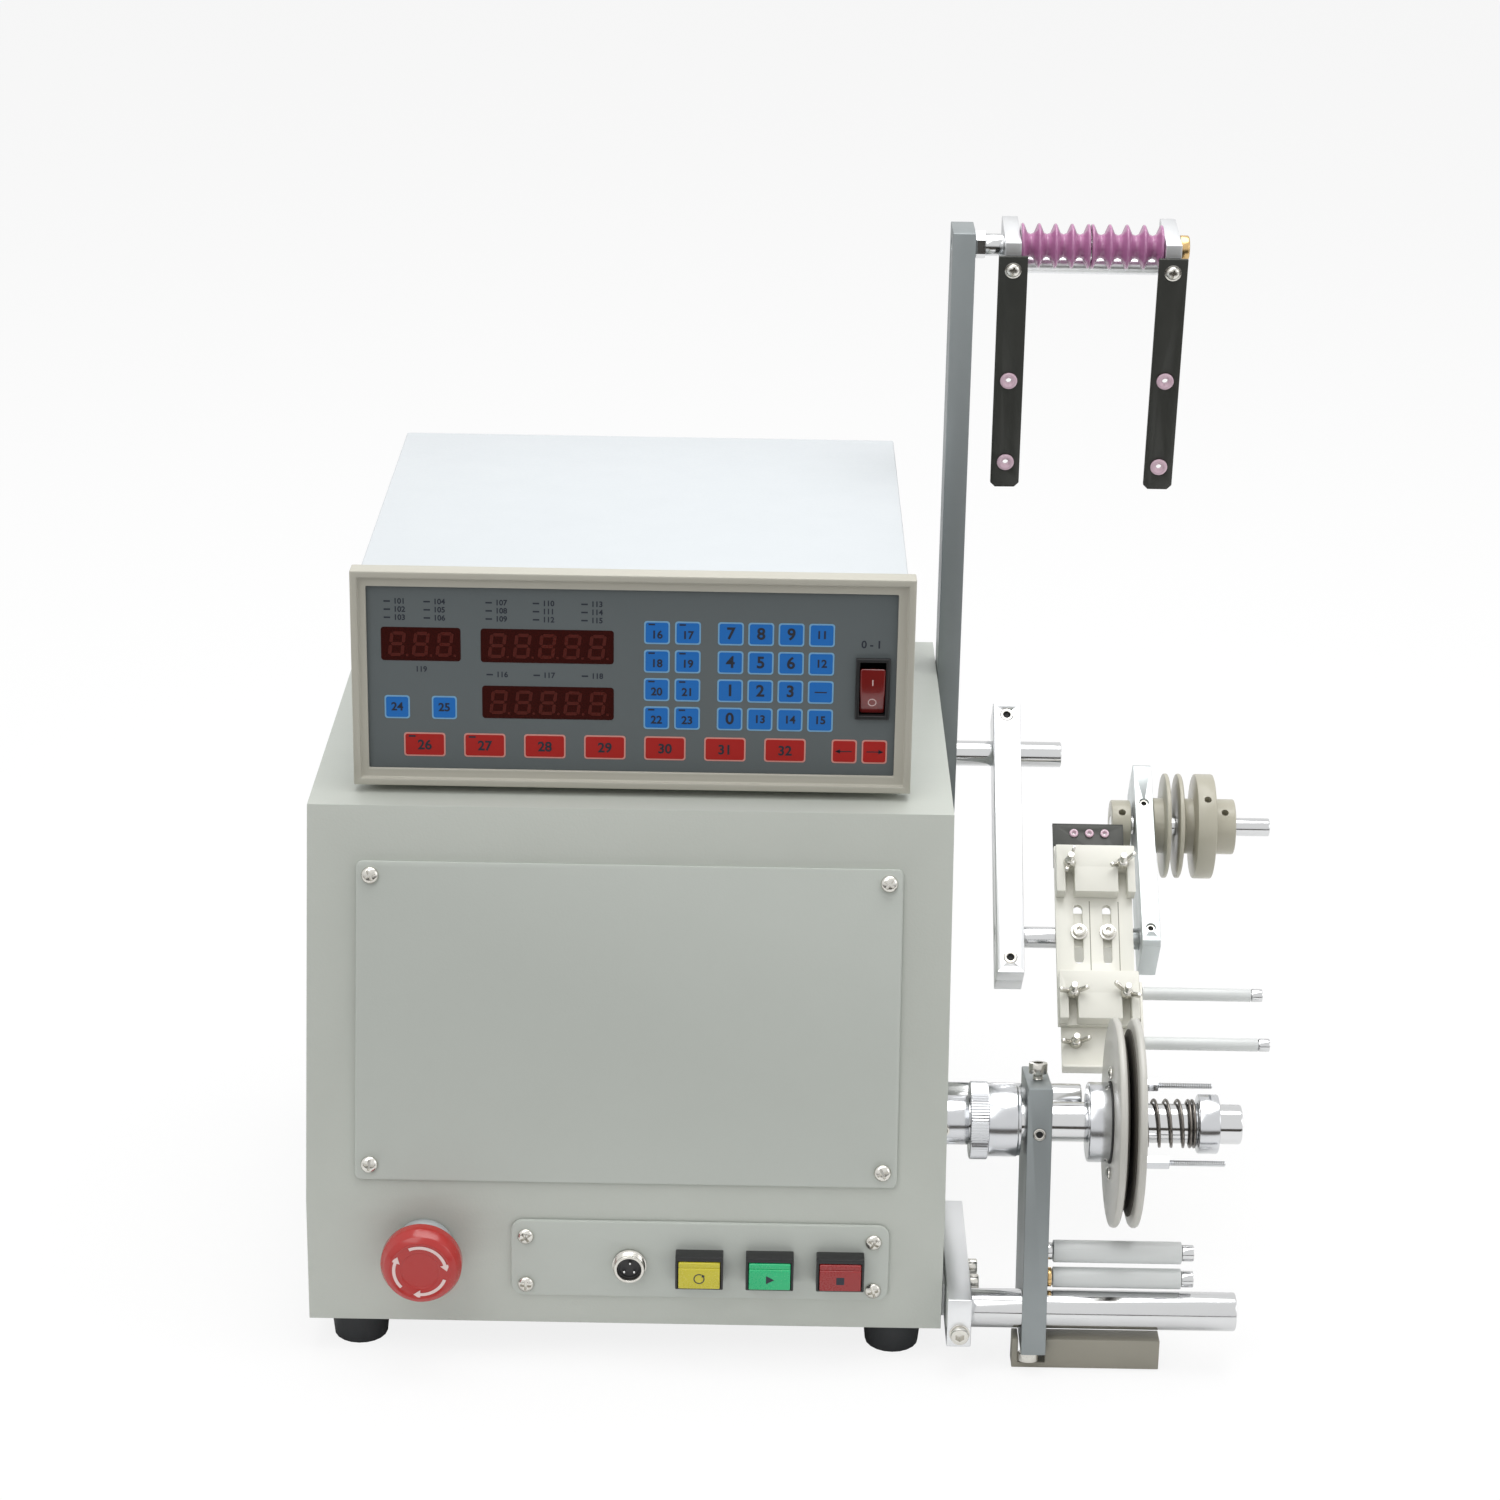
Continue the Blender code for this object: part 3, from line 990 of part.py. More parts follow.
    def spring(self, at):
        """The spring that pushes the outer disc: one unbroken helix, closed up at the collar's end."""
        x0, x1 = self.spring_x
        closed = self.spring_closed_turns * self.spring_closed_pitch
        open_pitch = (x1 - x0 - closed) / self.spring_open_turns
        count = self.spring_points
        total = (self.spring_open_turns + self.spring_closed_turns) * count
        points = []
        for i in range(total + 1):
            turn = i / count
            if turn <= self.spring_open_turns:
                x = x0 + turn * open_pitch
            else:
                x = x0 + self.spring_open_turns * open_pitch + (turn - self.spring_open_turns) * self.spring_closed_pitch
            angle = 2 * pi * turn
            points.append((x, self.spring_radius * cos(angle), self.spring_radius * sin(angle)))
        least = min((Vector(p) - Vector(q)).length for i, p in enumerate(points) for q in points[i + count - 2:])
        print(f"spring: least gap between its curls {(least - 2 * self.spring_wire) / MM:.2f} mm")
        curve = bpy.data.curves.new("pressure_spring", "CURVE")
        curve.dimensions = "3D"
        curve.bevel_depth = self.spring_wire
        curve.bevel_resolution = 1
        curve.use_fill_caps = True
        line = curve.splines.new("POLY")
        line.points.add(len(points) - 1)
        for point, place in zip(line.points, points):
            point.co = (*place, 1)
        spring = bpy.data.objects.new("pressure_spring", curve)
        spring.location = at
        curve.materials.append(finish_of("pressure_spring", STEEL))
        collection_named("machine").objects.link(spring)

    def support_arm(self, at):
        """The outboard arm on the base rod, with its guide rollers, the bracket on the cabinet and the low bar."""
        x0, x1 = self.arm_x
        y0, y1 = self.arm_y
        z0, z1 = self.arm_z
        outline = [(x0, y0), (x1, y0), (x1, y1), (x0 - self.arm_back_shift, y1)]
        arm = object_from("support_arm", prism(outline, z0, z1, "Z"), ALUMINIUM_DULL, at, self.arm_lean)
        low, high = x0 - 2 * OVER, x1 + OVER
        rise = (y1 - y0) * tan(self.arm_lean)
        heel = prism([(y0, z0), (y1 + OVER, z0 + rise), (y1 + OVER, z0 - OVER), (y0, z0 - OVER)], low, high)
        cut(arm, object_from("arm_heel", heel, at=at, lean=self.arm_lean))
        middle = (x0 + x1) / 2
        top_r, low_r = self.arm_screw_radius
        top_h, low_h = self.arm_screw_head
        top_y, low_y = self.arm_screw_y
        top_x, low_x = (middle + shift for shift in self.arm_screw_shift)
        neck = self.arm_screw_neck
        screws = {
            "top_neck": pin(z1 - OVER, z1 + neck, top_r / 2, (top_x, top_y), 12, "Z"),
            "top_head": pin(z1 + neck - GAP, z1 + neck + top_h, top_r, (top_x, top_y), 16, "Z"),
            "low_head": pin(z0 - low_h, z0 + 2 * OVER, low_r, (low_x, low_y), 16, "Z"),
        }
        for name, shape in screws.items():
            fuse(arm, object_from("arm_" + name, shape, at=at, lean=self.arm_lean))
        for i, (yz, radius) in enumerate(zip(self.roller_yz, self.roller_radius)):
            end = self.roller_x[1]
            stems = {
                "pin": pin(x1 - 2 * OVER, end + self.roller_nut / 2, self.roller_pin, (0, 0), 10),
                "pin_collar": pin(x1 - OVER, self.roller_x[0] - GAP, self.roller_collar_radius, (0, 0), 12),
                "pin_nut": pin(end + GAP, end + self.roller_nut, self.roller_nut_radius, (0, 0), 12),
            }
            for name, shape in stems.items():
                fuse(arm, object_from(f"arm_{name}_{i}", shape, at=(0, *yz)))
            sleeve = tube(*self.roller_x, self.roller_pin + GAP, radius, 16)
            smooth(object_from(f"guide_roller_{i + 3}", sleeve, WHITE_PLASTIC, (0, *yz)))
        base = self.base_yz
        cut(arm, object_from("arm_shaft_bore", pin(low, high, self.shaft_radius + GAP), at=at))
        cut(arm, object_from("arm_rear_bore", pin(low, high, self.rear_rod_radius + GAP), at=(0, *self.rear_rod_yz)))
        cut(arm, object_from("arm_base_bore", pin(low, high, self.base_radius + GAP), at=(0, *base)))
        smooth(object_from("base_rod", pin(*self.base_x, self.base_radius), STEEL, (0, *base)))
        x0, x1 = self.bracket_x
        z = base[1]
        bracket = block(x0, x1, *self.bracket_y, z - self.bracket_half, z + self.bracket_half)
        bracket = object_from("base_bracket", bracket, ALUMINIUM)
        foot = block(self.bracket_wall, x0 + OVER, *self.bracket_foot_y, z - self.bracket_foot, z + self.bracket_foot)
        fuse(bracket, object_from("bracket_foot", foot))
        cut(bracket, object_from("bracket_bore", pin(self.base_x[0] - GAP, x1 + OVER, self.base_radius + GAP, base)))
        z0, z1 = self.bar_z
        bar = object_from("rest_bar", block(*self.bar_x, *self.bar_y, z0, z1), CREAM)
        notch = block(self.arm_x[0] - self.arm_back_shift - GAP, self.arm_x[1] + GAP, self.bar_y[0] - OVER,
                      self.bar_y[1] + OVER, z0 + self.bar_bridge, z1 + OVER)
        cut(bar, object_from("bar_notch", notch))

    def drive(self):
        """The motor on the base, its pulley and the belt to the spindle's pulley."""
        motor_at = (0, *self.motor_yz)
        profile = [(self.motor_x[0], 0), (self.motor_x[0], self.motor_radius), (self.motor_x[1], self.motor_radius),
                   (self.motor_x[1], self.motor_boss_radius), (self.motor_boss, self.motor_boss_radius),
                   (self.motor_boss, 0)]
        motor = object_from("drive_motor", turned(profile), BLACK_PLASTIC, motor_at)
        half = self.motor_foot_half
        foot_z = self.motor_foot_z - self.motor_yz[1]
        foot = block(self.motor_x[0] / 2, self.motor_x[1] / 2, -half, half, foot_z, -self.motor_radius / 2)
        fuse(motor, object_from("motor_foot", foot, at=motor_at))
        smooth(motor)
        shaft = [(self.motor_boss + GAP, 0), (self.motor_boss + GAP, self.motor_shaft_radius),
                 (self.motor_shaft_end, self.motor_shaft_radius), (self.motor_shaft_end, self.pulley_radius),
                 (self.drive_x[1], self.pulley_radius), (self.drive_x[1], 0)]
        smooth(object_from("motor_pulley", turned(shaft), STEEL, motor_at))
        self.belt()

    def belt(self):
        """The flat belt around the two equal pulleys, a little clear of both."""
        inside = self.pulley_radius + self.belt_clear
        outside = inside + self.belt_thick
        dy, dz = self.motor_yz[0] - self.yz[0], self.motor_yz[1] - self.yz[1]
        heading = Vector((dy, dz)).angle_signed(Vector((1, 0)))
        steps = SMALL_STEPS

        def loop(radius):
            points = []
            for (y, z), start in (((dy, dz), -pi / 2), ((0, 0), pi / 2)):
                for i in range(steps + 1):
                    angle = heading + start + pi * i / steps
                    points.append((y + radius * cos(angle), z + radius * sin(angle)))
            return points

        belt = object_from("drive_belt", prism(loop(outside), *self.belt_x), RUBBER, (0, *self.yz))
        hollow = prism(loop(inside), self.belt_x[0] - OVER, self.belt_x[1] + OVER)
        cut(belt, object_from("belt_hollow", hollow, at=(0, *self.yz)))


def stand_on_origin():
    """Parents every piece to one root and moves the root so that the bounding box stands over the origin."""
    bpy.context.view_layer.update()
    graph = bpy.context.evaluated_depsgraph_get()
    pieces = list(collection_named("machine").objects)
    helpers = list(collection_named("cutters").objects)
    low = Vector((1, 1, 1)) * 1e3
    high = -low
    for piece in pieces:
        mesh = piece.evaluated_get(graph).to_mesh()
        for vertex in mesh.vertices:
            place = piece.matrix_world @ vertex.co
            low = Vector(map(min, low, place))
            high = Vector(map(max, high, place))
    root = bpy.data.objects.new("machine_root", None)
    bpy.context.scene.collection.objects.link(root)
    for obj in pieces + helpers:
        obj.parent = root
    shift = Vector((-(low.x + high.x) / 2, -(low.y + high.y) / 2, -low.z))
    root.location = shift
    print("moved by", [round(value / MM, 3) for value in shift], "mm")
    print("box", [round(value / MM, 2) for value in high - low], "mm")


def main():
    """Builds the whole machine."""
    clear_scene()
    spindle = Spindle()
    traverse = Traverse()
    cabinet = Cabinet()
    cabinet.build(spindle.yz, spindle.rear_rod_yz, traverse.rod_yz)
    Controller().build()
    WireStand().build(traverse.rod_yz, traverse.rod_radius + GAP)
    traverse.build()
    spindle.build()
    stand_on_origin()


main()
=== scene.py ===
"""The looks of a wire coil winding machine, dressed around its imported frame.

Lengths in the classes are millimetres in the machine's own frame: x from the cabinet's middle to its right,
y from its lower front to the back and z up from the floor. MM and Place turn them into the frame's metres.
"""

import logging
from dataclasses import dataclass
from enum import Enum
from itertools import count
from math import atan2, cos, pi, radians, sin, tau
from typing import Iterable, Iterator, Sequence

import bmesh
import bpy
from mathutils import Matrix, Vector

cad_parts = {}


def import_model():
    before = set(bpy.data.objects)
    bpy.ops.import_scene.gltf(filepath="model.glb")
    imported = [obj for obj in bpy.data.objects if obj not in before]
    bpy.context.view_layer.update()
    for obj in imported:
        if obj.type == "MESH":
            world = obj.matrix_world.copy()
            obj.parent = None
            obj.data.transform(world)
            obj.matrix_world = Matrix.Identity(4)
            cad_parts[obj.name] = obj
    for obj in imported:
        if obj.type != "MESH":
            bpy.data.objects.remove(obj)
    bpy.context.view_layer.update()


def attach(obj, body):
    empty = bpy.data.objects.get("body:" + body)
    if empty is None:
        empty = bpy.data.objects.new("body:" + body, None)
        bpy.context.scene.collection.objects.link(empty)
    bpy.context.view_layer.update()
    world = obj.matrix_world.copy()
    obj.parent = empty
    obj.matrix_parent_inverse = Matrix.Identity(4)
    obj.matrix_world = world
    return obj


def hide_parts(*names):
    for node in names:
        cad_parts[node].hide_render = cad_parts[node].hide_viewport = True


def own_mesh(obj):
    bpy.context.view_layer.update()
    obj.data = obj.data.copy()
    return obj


LOG = logging.getLogger("winding_machine")
MM = 0.001
ORIGIN = Vector((-93.5, -150.4, 0.0)) * MM
TINY = 1e-6
INK_DEPTH = 0.08
LABEL_LIFT = 0.06
FINE_STEPS = 72
ROUND_STEPS = 40
SMALL_STEPS = 24
TOWARDS_VIEWER = Matrix.Rotation(-pi / 2, 4, "Z")
UPWARDS = Matrix.Rotation(-pi / 2, 4, "Y")

Colour = tuple[float, float, float]
Pair = tuple[float, float]


class Wire:
    """A shader socket that takes Python's arithmetic."""

    def __init__(self, graph: "Graph", socket: bpy.types.NodeSocket) -> None:
        """Keeps the socket and the graph that it belongs to."""
        self.graph = graph
        self.socket = socket

    def _math(self, operation: str, first: object, second: object) -> "Wire":
        """One Math node of this operation."""
        return self.graph.node("ShaderNodeMath", {"operation": operation}, {0: first, 1: second})

    def __add__(self, other: object) -> "Wire":
        """Adds a value."""
        return self._math("ADD", self, other)

    def __radd__(self, other: object) -> "Wire":
        """Adds to a value."""
        return self._math("ADD", other, self)

    def __sub__(self, other: object) -> "Wire":
        """Takes a value away."""
        return self._math("SUBTRACT", self, other)

    def __rsub__(self, other: object) -> "Wire":
        """Is taken away from a value."""
        return self._math("SUBTRACT", other, self)

    def __mul__(self, other: object) -> "Wire":
        """Multiplies by a value."""
        return self._math("MULTIPLY", self, other)

    def __rmul__(self, other: object) -> "Wire":
        """Multiplies a value."""
        return self._math("MULTIPLY", other, self)


class Graph:
    """The node graph of one material, built by expressions."""

    def __init__(self, material: bpy.types.Material) -> None:
        """Starts from the material's own nodes."""
        self.tree = material.node_tree
        self.shader = self.tree.nodes["Principled BSDF"]

    def node(self, kind: str, settings: dict | None = None, values: dict | None = None,
             out: int | str = 0) -> Wire:
        """Adds a node.

        Args:
            kind: the node's type.
            settings: its own settings, set first.
            values: values or wires for its sockets, by name or number.
            out: the output to hand back.

        Returns:
            The chosen output as a Wire.
        """
        made = self.tree.nodes.new(kind)
        for key, value in (settings or {}).items():
            setattr(made, key, value)
        for key, value in (values or {}).items():
            if isinstance(value, Wire):
                self.tree.links.new(value.socket, made.inputs[key])
            else:
                made.inputs[key].default_value = value
        return Wire(self, made.outputs[out])

    def mix(self, share: Wire, first: Colour, second: Colour) -> Wire:
        """Mixes two colours by a share."""
        return self.node("ShaderNodeMix", {"data_type": "RGBA"},
                         {0: share, 6: (*first, 1.0), 7: (*second, 1.0)}, 2)

    def stretched(self, stretch: Sequence[float]) -> Wire:
        """Object coordinates scaled by these three factors."""
        place = self.node("ShaderNodeTexCoord", out="Object")
        return self.node("ShaderNodeMapping", {"vector_type": "POINT"}, {"Vector": place, "Scale": stretch})

    def noise(self, stretch: Sequence[float], detail: float = 3.0) -> Wire:
        """Noise on coordinates scaled by these factors."""
        return self.node("ShaderNodeTexNoise", None,
                         {"Vector": self.stretched(stretch), "Scale": 1.0, "Detail": detail}, "Fac")

    def set(self, name: str, value: object) -> None:
        """Gives the shader's socket a value or a wire."""
        if isinstance(value, Wire):
            self.tree.links.new(value.socket, self.shader.inputs[name])
        else:
            self.shader.inputs[name].default_value = value


class Grain(Enum):
    """How a finish's surface is broken up."""

    PEBBLE = "sprayed paint with a pebble texture"
    FINE = "fine even grain"
    TURNED = "lathe rings about the machine's long axis"
    DRAWN = "lines along the machine's long axis"
    MILLED = "short criss-cross cutter marks"
    FELT = "soft matted fibre"


@dataclass(frozen=True)
class Finish:
    """One finish: two shades that a slow pattern mixes, and a fine relief."""

    slot: str
    colour: Colour
    shade: Colour
    roughness: float
    grain: Grain
    size: float
    relief: float
    metallic: float = 0.0
    coat: float = 0.0
    uneven: float = 0.12
    patch: float = 30.0
    bump: float = 0.6

    def relief_height(self, graph: Graph) -> Wire:
        """The fine pattern that the bump reads.

        Args:
            graph: the material's graph.

        Returns:
            A height between nought and about one.
        """
        near = 1.0 / (self.size * MM)
        if self.grain is Grain.PEBBLE:
            cells = graph.node("ShaderNodeTexVoronoi", {"feature": "SMOOTH_F1"},
                               {"Vector": graph.stretched((near, near, near)), "Scale": 1.0}, "Distance")
            return cells * 0.7 + graph.noise((near * 0.6,) * 3) * 0.6
        if self.grain is Grain.TURNED:
            return graph.noise((near, near / 40, near / 40), 2.0)
        if self.grain is Grain.DRAWN:
            return graph.noise((near / 60, near, near), 2.0)
        if self.grain is Grain.MILLED:
            far = near / 30
            return graph.noise((near, near, far)) * 0.5 + graph.noise((far, far, near)) * 0.5
        if self.grain is Grain.FELT:
            return graph.noise((near, near, near), 8.0)
        return graph.noise((near, near, near))

    def material(self, name: str) -> bpy.types.Material:
        """The finish's material, made when there is none.

        Args:
            name: the material's name.

        Returns:
            The material.
        """
        found = bpy.data.materials.get(name)
        if found is not None:
            return found
        made = bpy.data.materials.new(name)
        made.use_nodes = True
        graph = Graph(made)
        far = 1.0 / (self.patch * MM)
        patches = graph.noise((far, far, far), 4.0)
        fine = self.relief_height(graph)
        graph.set("Base Color", graph.mix(patches, self.colour, self.shade))
        graph.set("Roughness", (patches - 0.5) * self.uneven + (fine - 0.5) * self.uneven + self.roughness)
        graph.set("Metallic", self.metallic)
        graph.set("Coat Weight", self.coat)
        graph.set("Normal", graph.node("ShaderNodeBump", None, {
            "Strength": self.bump, "Distance": self.relief * MM, "Height": fine}))
        return made


class Looks(Enum):
    """Every finish of the machine."""

    PAINT = Finish("painted", (0.53, 0.555, 0.51), (0.505, 0.53, 0.485), 0.42, Grain.PEBBLE, 1.1, 0.11)
    PLATE_PAINT = Finish("painted", (0.52, 0.55, 0.51), (0.50, 0.53, 0.49), 0.42, Grain.PEBBLE, 1.0, 0.07)
    CASE_PAINT = Finish("painted", (0.58, 0.61, 0.63), (0.555, 0.585, 0.605), 0.4, Grain.PEBBLE, 1.1, 0.10)
    BEZEL = Finish("bezel_plastic", (0.50, 0.485, 0.42), (0.48, 0.465, 0.40), 0.42, Grain.FINE, 0.35, 0.004)
    CREAM = Finish("cream", (0.80, 0.79, 0.72), (0.77, 0.76, 0.69), 0.38, Grain.FINE, 0.7, 0.006)
    DISC = Finish("cream", (0.56, 0.55, 0.51), (0.53, 0.52, 0.48), 0.36, Grain.TURNED, 0.5, 0.006, coat=0.1)
    # The low rest bar's own dark tan, and also the painted shade of the tension plate's groove lines.
    REST = Finish("cream", (0.30, 0.285, 0.235), (0.27, 0.255, 0.21), 0.45, Grain.FINE, 0.8, 0.02)
    STEEL = Finish("steel", (0.62, 0.63, 0.645), (0.55, 0.56, 0.58), 0.2, Grain.TURNED, 0.25, 0.006, 1.0)
    ROD = Finish("steel", (0.66, 0.665, 0.67), (0.60, 0.605, 0.61), 0.12, Grain.DRAWN, 0.3, 0.003, 1.0)
    SCREW = Finish("steel", (0.72, 0.71, 0.67), (0.58, 0.56, 0.51), 0.22, Grain.FINE, 0.4, 0.008, 1.0)
    SPRING = Finish("steel", (0.22, 0.20, 0.18), (0.16, 0.15, 0.14), 0.24, Grain.FINE, 0.3, 0.01, 1.0)
    BRASS = Finish("steel", (0.70, 0.48, 0.22), (0.60, 0.40, 0.18), 0.25, Grain.TURNED, 0.3, 0.01, 1.0)
    BRIGHT = Finish("aluminium", (0.80, 0.81, 0.82), (0.74, 0.75, 0.76), 0.34, Grain.MILLED, 0.5, 0.01, 1.0)
    ANODISED = Finish("aluminium", (0.62, 0.66, 0.66), (0.58, 0.62, 0.62),
                      0.42, Grain.FINE, 0.5, 0.012, 0.7)
    DULL = Finish("dark_aluminium", (0.30, 0.325, 0.33), (0.25, 0.275, 0.28),
                  0.42, Grain.FINE, 0.5, 0.012, 0.75)
    BLACKENED = Finish("blackened", (0.030, 0.032, 0.028), (0.045, 0.046, 0.040),
                       0.42, Grain.DRAWN, 0.6, 0.01, 0.3)
    CERAMIC = Finish("ceramic", (0.43, 0.17, 0.33), (0.38, 0.14, 0.295),
                     0.22, Grain.FINE, 0.9, 0.006, coat=0.4)
    EYELET = Finish("ceramic", (0.72, 0.52, 0.60), (0.62, 0.42, 0.52), 0.2, Grain.FINE, 0.6, 0.01, coat=0.5)
    IVORY = Finish("ivory", (0.46, 0.44, 0.36), (0.42, 0.40, 0.32),
                   0.34, Grain.TURNED, 0.5, 0.012, coat=0.1)
    NYLON = Finish("white_plastic", (0.68, 0.70, 0.69), (0.64, 0.66, 0.655),
                   0.3, Grain.DRAWN, 0.8, 0.01, coat=0.1)
    WHITE_INK = Finish("white_plastic", (0.80, 0.62, 0.60), (0.76, 0.58, 0.56), 0.5, Grain.FINE, 0.5, 0.002)
    BLACK = Finish("black_plastic", (0.012, 0.012, 0.013), (0.018, 0.018, 0.019),
                   0.34, Grain.FINE, 0.5, 0.012)
    INK = Finish("black_plastic", (0.012, 0.016, 0.028), (0.016, 0.020, 0.032), 0.5, Grain.FINE, 0.5, 0.002)
    # Near black painted shade: the bottom of screw sockets and the gap behind the disc hub.
    HOLE = Finish("black_plastic", (0.006, 0.006, 0.006), (0.012, 0.012, 0.012), 0.6, Grain.FINE, 0.5, 0.01)
    PANEL = Finish("panel", (0.135, 0.155, 0.16), (0.12, 0.14, 0.145), 0.4, Grain.FINE, 0.4, 0.004)
    BLUE_KEY = Finish("panel", (0.012, 0.165, 0.55), (0.010, 0.15, 0.51), 0.42, Grain.FINE, 0.4, 0.003)
    BLUE_EDGE = Finish("panel", (0.22, 0.45, 0.68), (0.20, 0.42, 0.64), 0.42, Grain.FINE, 0.4, 0.003)
    RED_KEY = Finish("red", (0.45, 0.013, 0.010), (0.41, 0.011, 0.008), 0.42, Grain.FINE, 0.4, 0.003)
    RED_EDGE = Finish("red", (0.72, 0.33, 0.29), (0.68, 0.30, 0.26), 0.42, Grain.FINE, 0.4, 0.003)
    DISPLAY = Finish("red", (0.042, 0.004, 0.003), (0.036, 0.003, 0.002),
                     0.16, Grain.FINE, 0.6, 0.003, coat=0.2)
    SEGMENT = Finish("red", (0.090, 0.012, 0.008), (0.078, 0.010, 0.006), 0.3, Grain.FINE, 0.6, 0.002)
    STOP_RED = Finish("red", (0.46, 0.018, 0.014), (0.42, 0.015, 0.012),
                      0.24, Grain.FINE, 0.8, 0.006, coat=0.25)
    LENS_RED = Finish("red", (0.33, 0.019, 0.020), (0.29, 0.016, 0.016),
                      0.28, Grain.FINE, 0.8, 0.006, coat=0.2)
    LENS_YELLOW = Finish("yellow", (0.60, 0.53, 0.030), (0.56, 0.49, 0.026),
                         0.28, Grain.FINE, 0.8, 0.006, coat=0.2)
    LENS_GREEN = Finish("green", (0.012, 0.50, 0.19), (0.010, 0.45, 0.17),
                        0.28, Grain.FINE, 0.8, 0.006, coat=0.2)
    ROCKER_RED = Finish("red", (0.20, 0.010, 0.009), (0.17, 0.008, 0.007),
                        0.2, Grain.FINE, 0.8, 0.005, coat=0.4)
    COLLAR = Finish("panel", (0.42, 0.45, 0.46), (0.38, 0.41, 0.42), 0.4, Grain.FINE, 0.5, 0.01)
    RUBBER = Finish("black_rubber", (0.014, 0.016, 0.018), (0.022, 0.024, 0.026),
                    0.6, Grain.FELT, 0.8, 0.03)
    # Dark felt behind the clamp pads. The same finish paints shade in the gap between the spindle's discs.
    FELT = Finish("black_plastic", (0.055, 0.050, 0.042), (0.085, 0.078, 0.066),
                  0.75, Grain.FELT, 0.5, 0.05)
    BOARD = Finish("board", (0.020, 0.14, 0.055), (0.016, 0.11, 0.045),
                   0.4, Grain.MILLED, 1.4, 0.02, coat=0.2)

    def material(self) -> bpy.types.Material:
        """The material of this finish."""
        return self.value.material(f"{self.name.lower()}_finish")


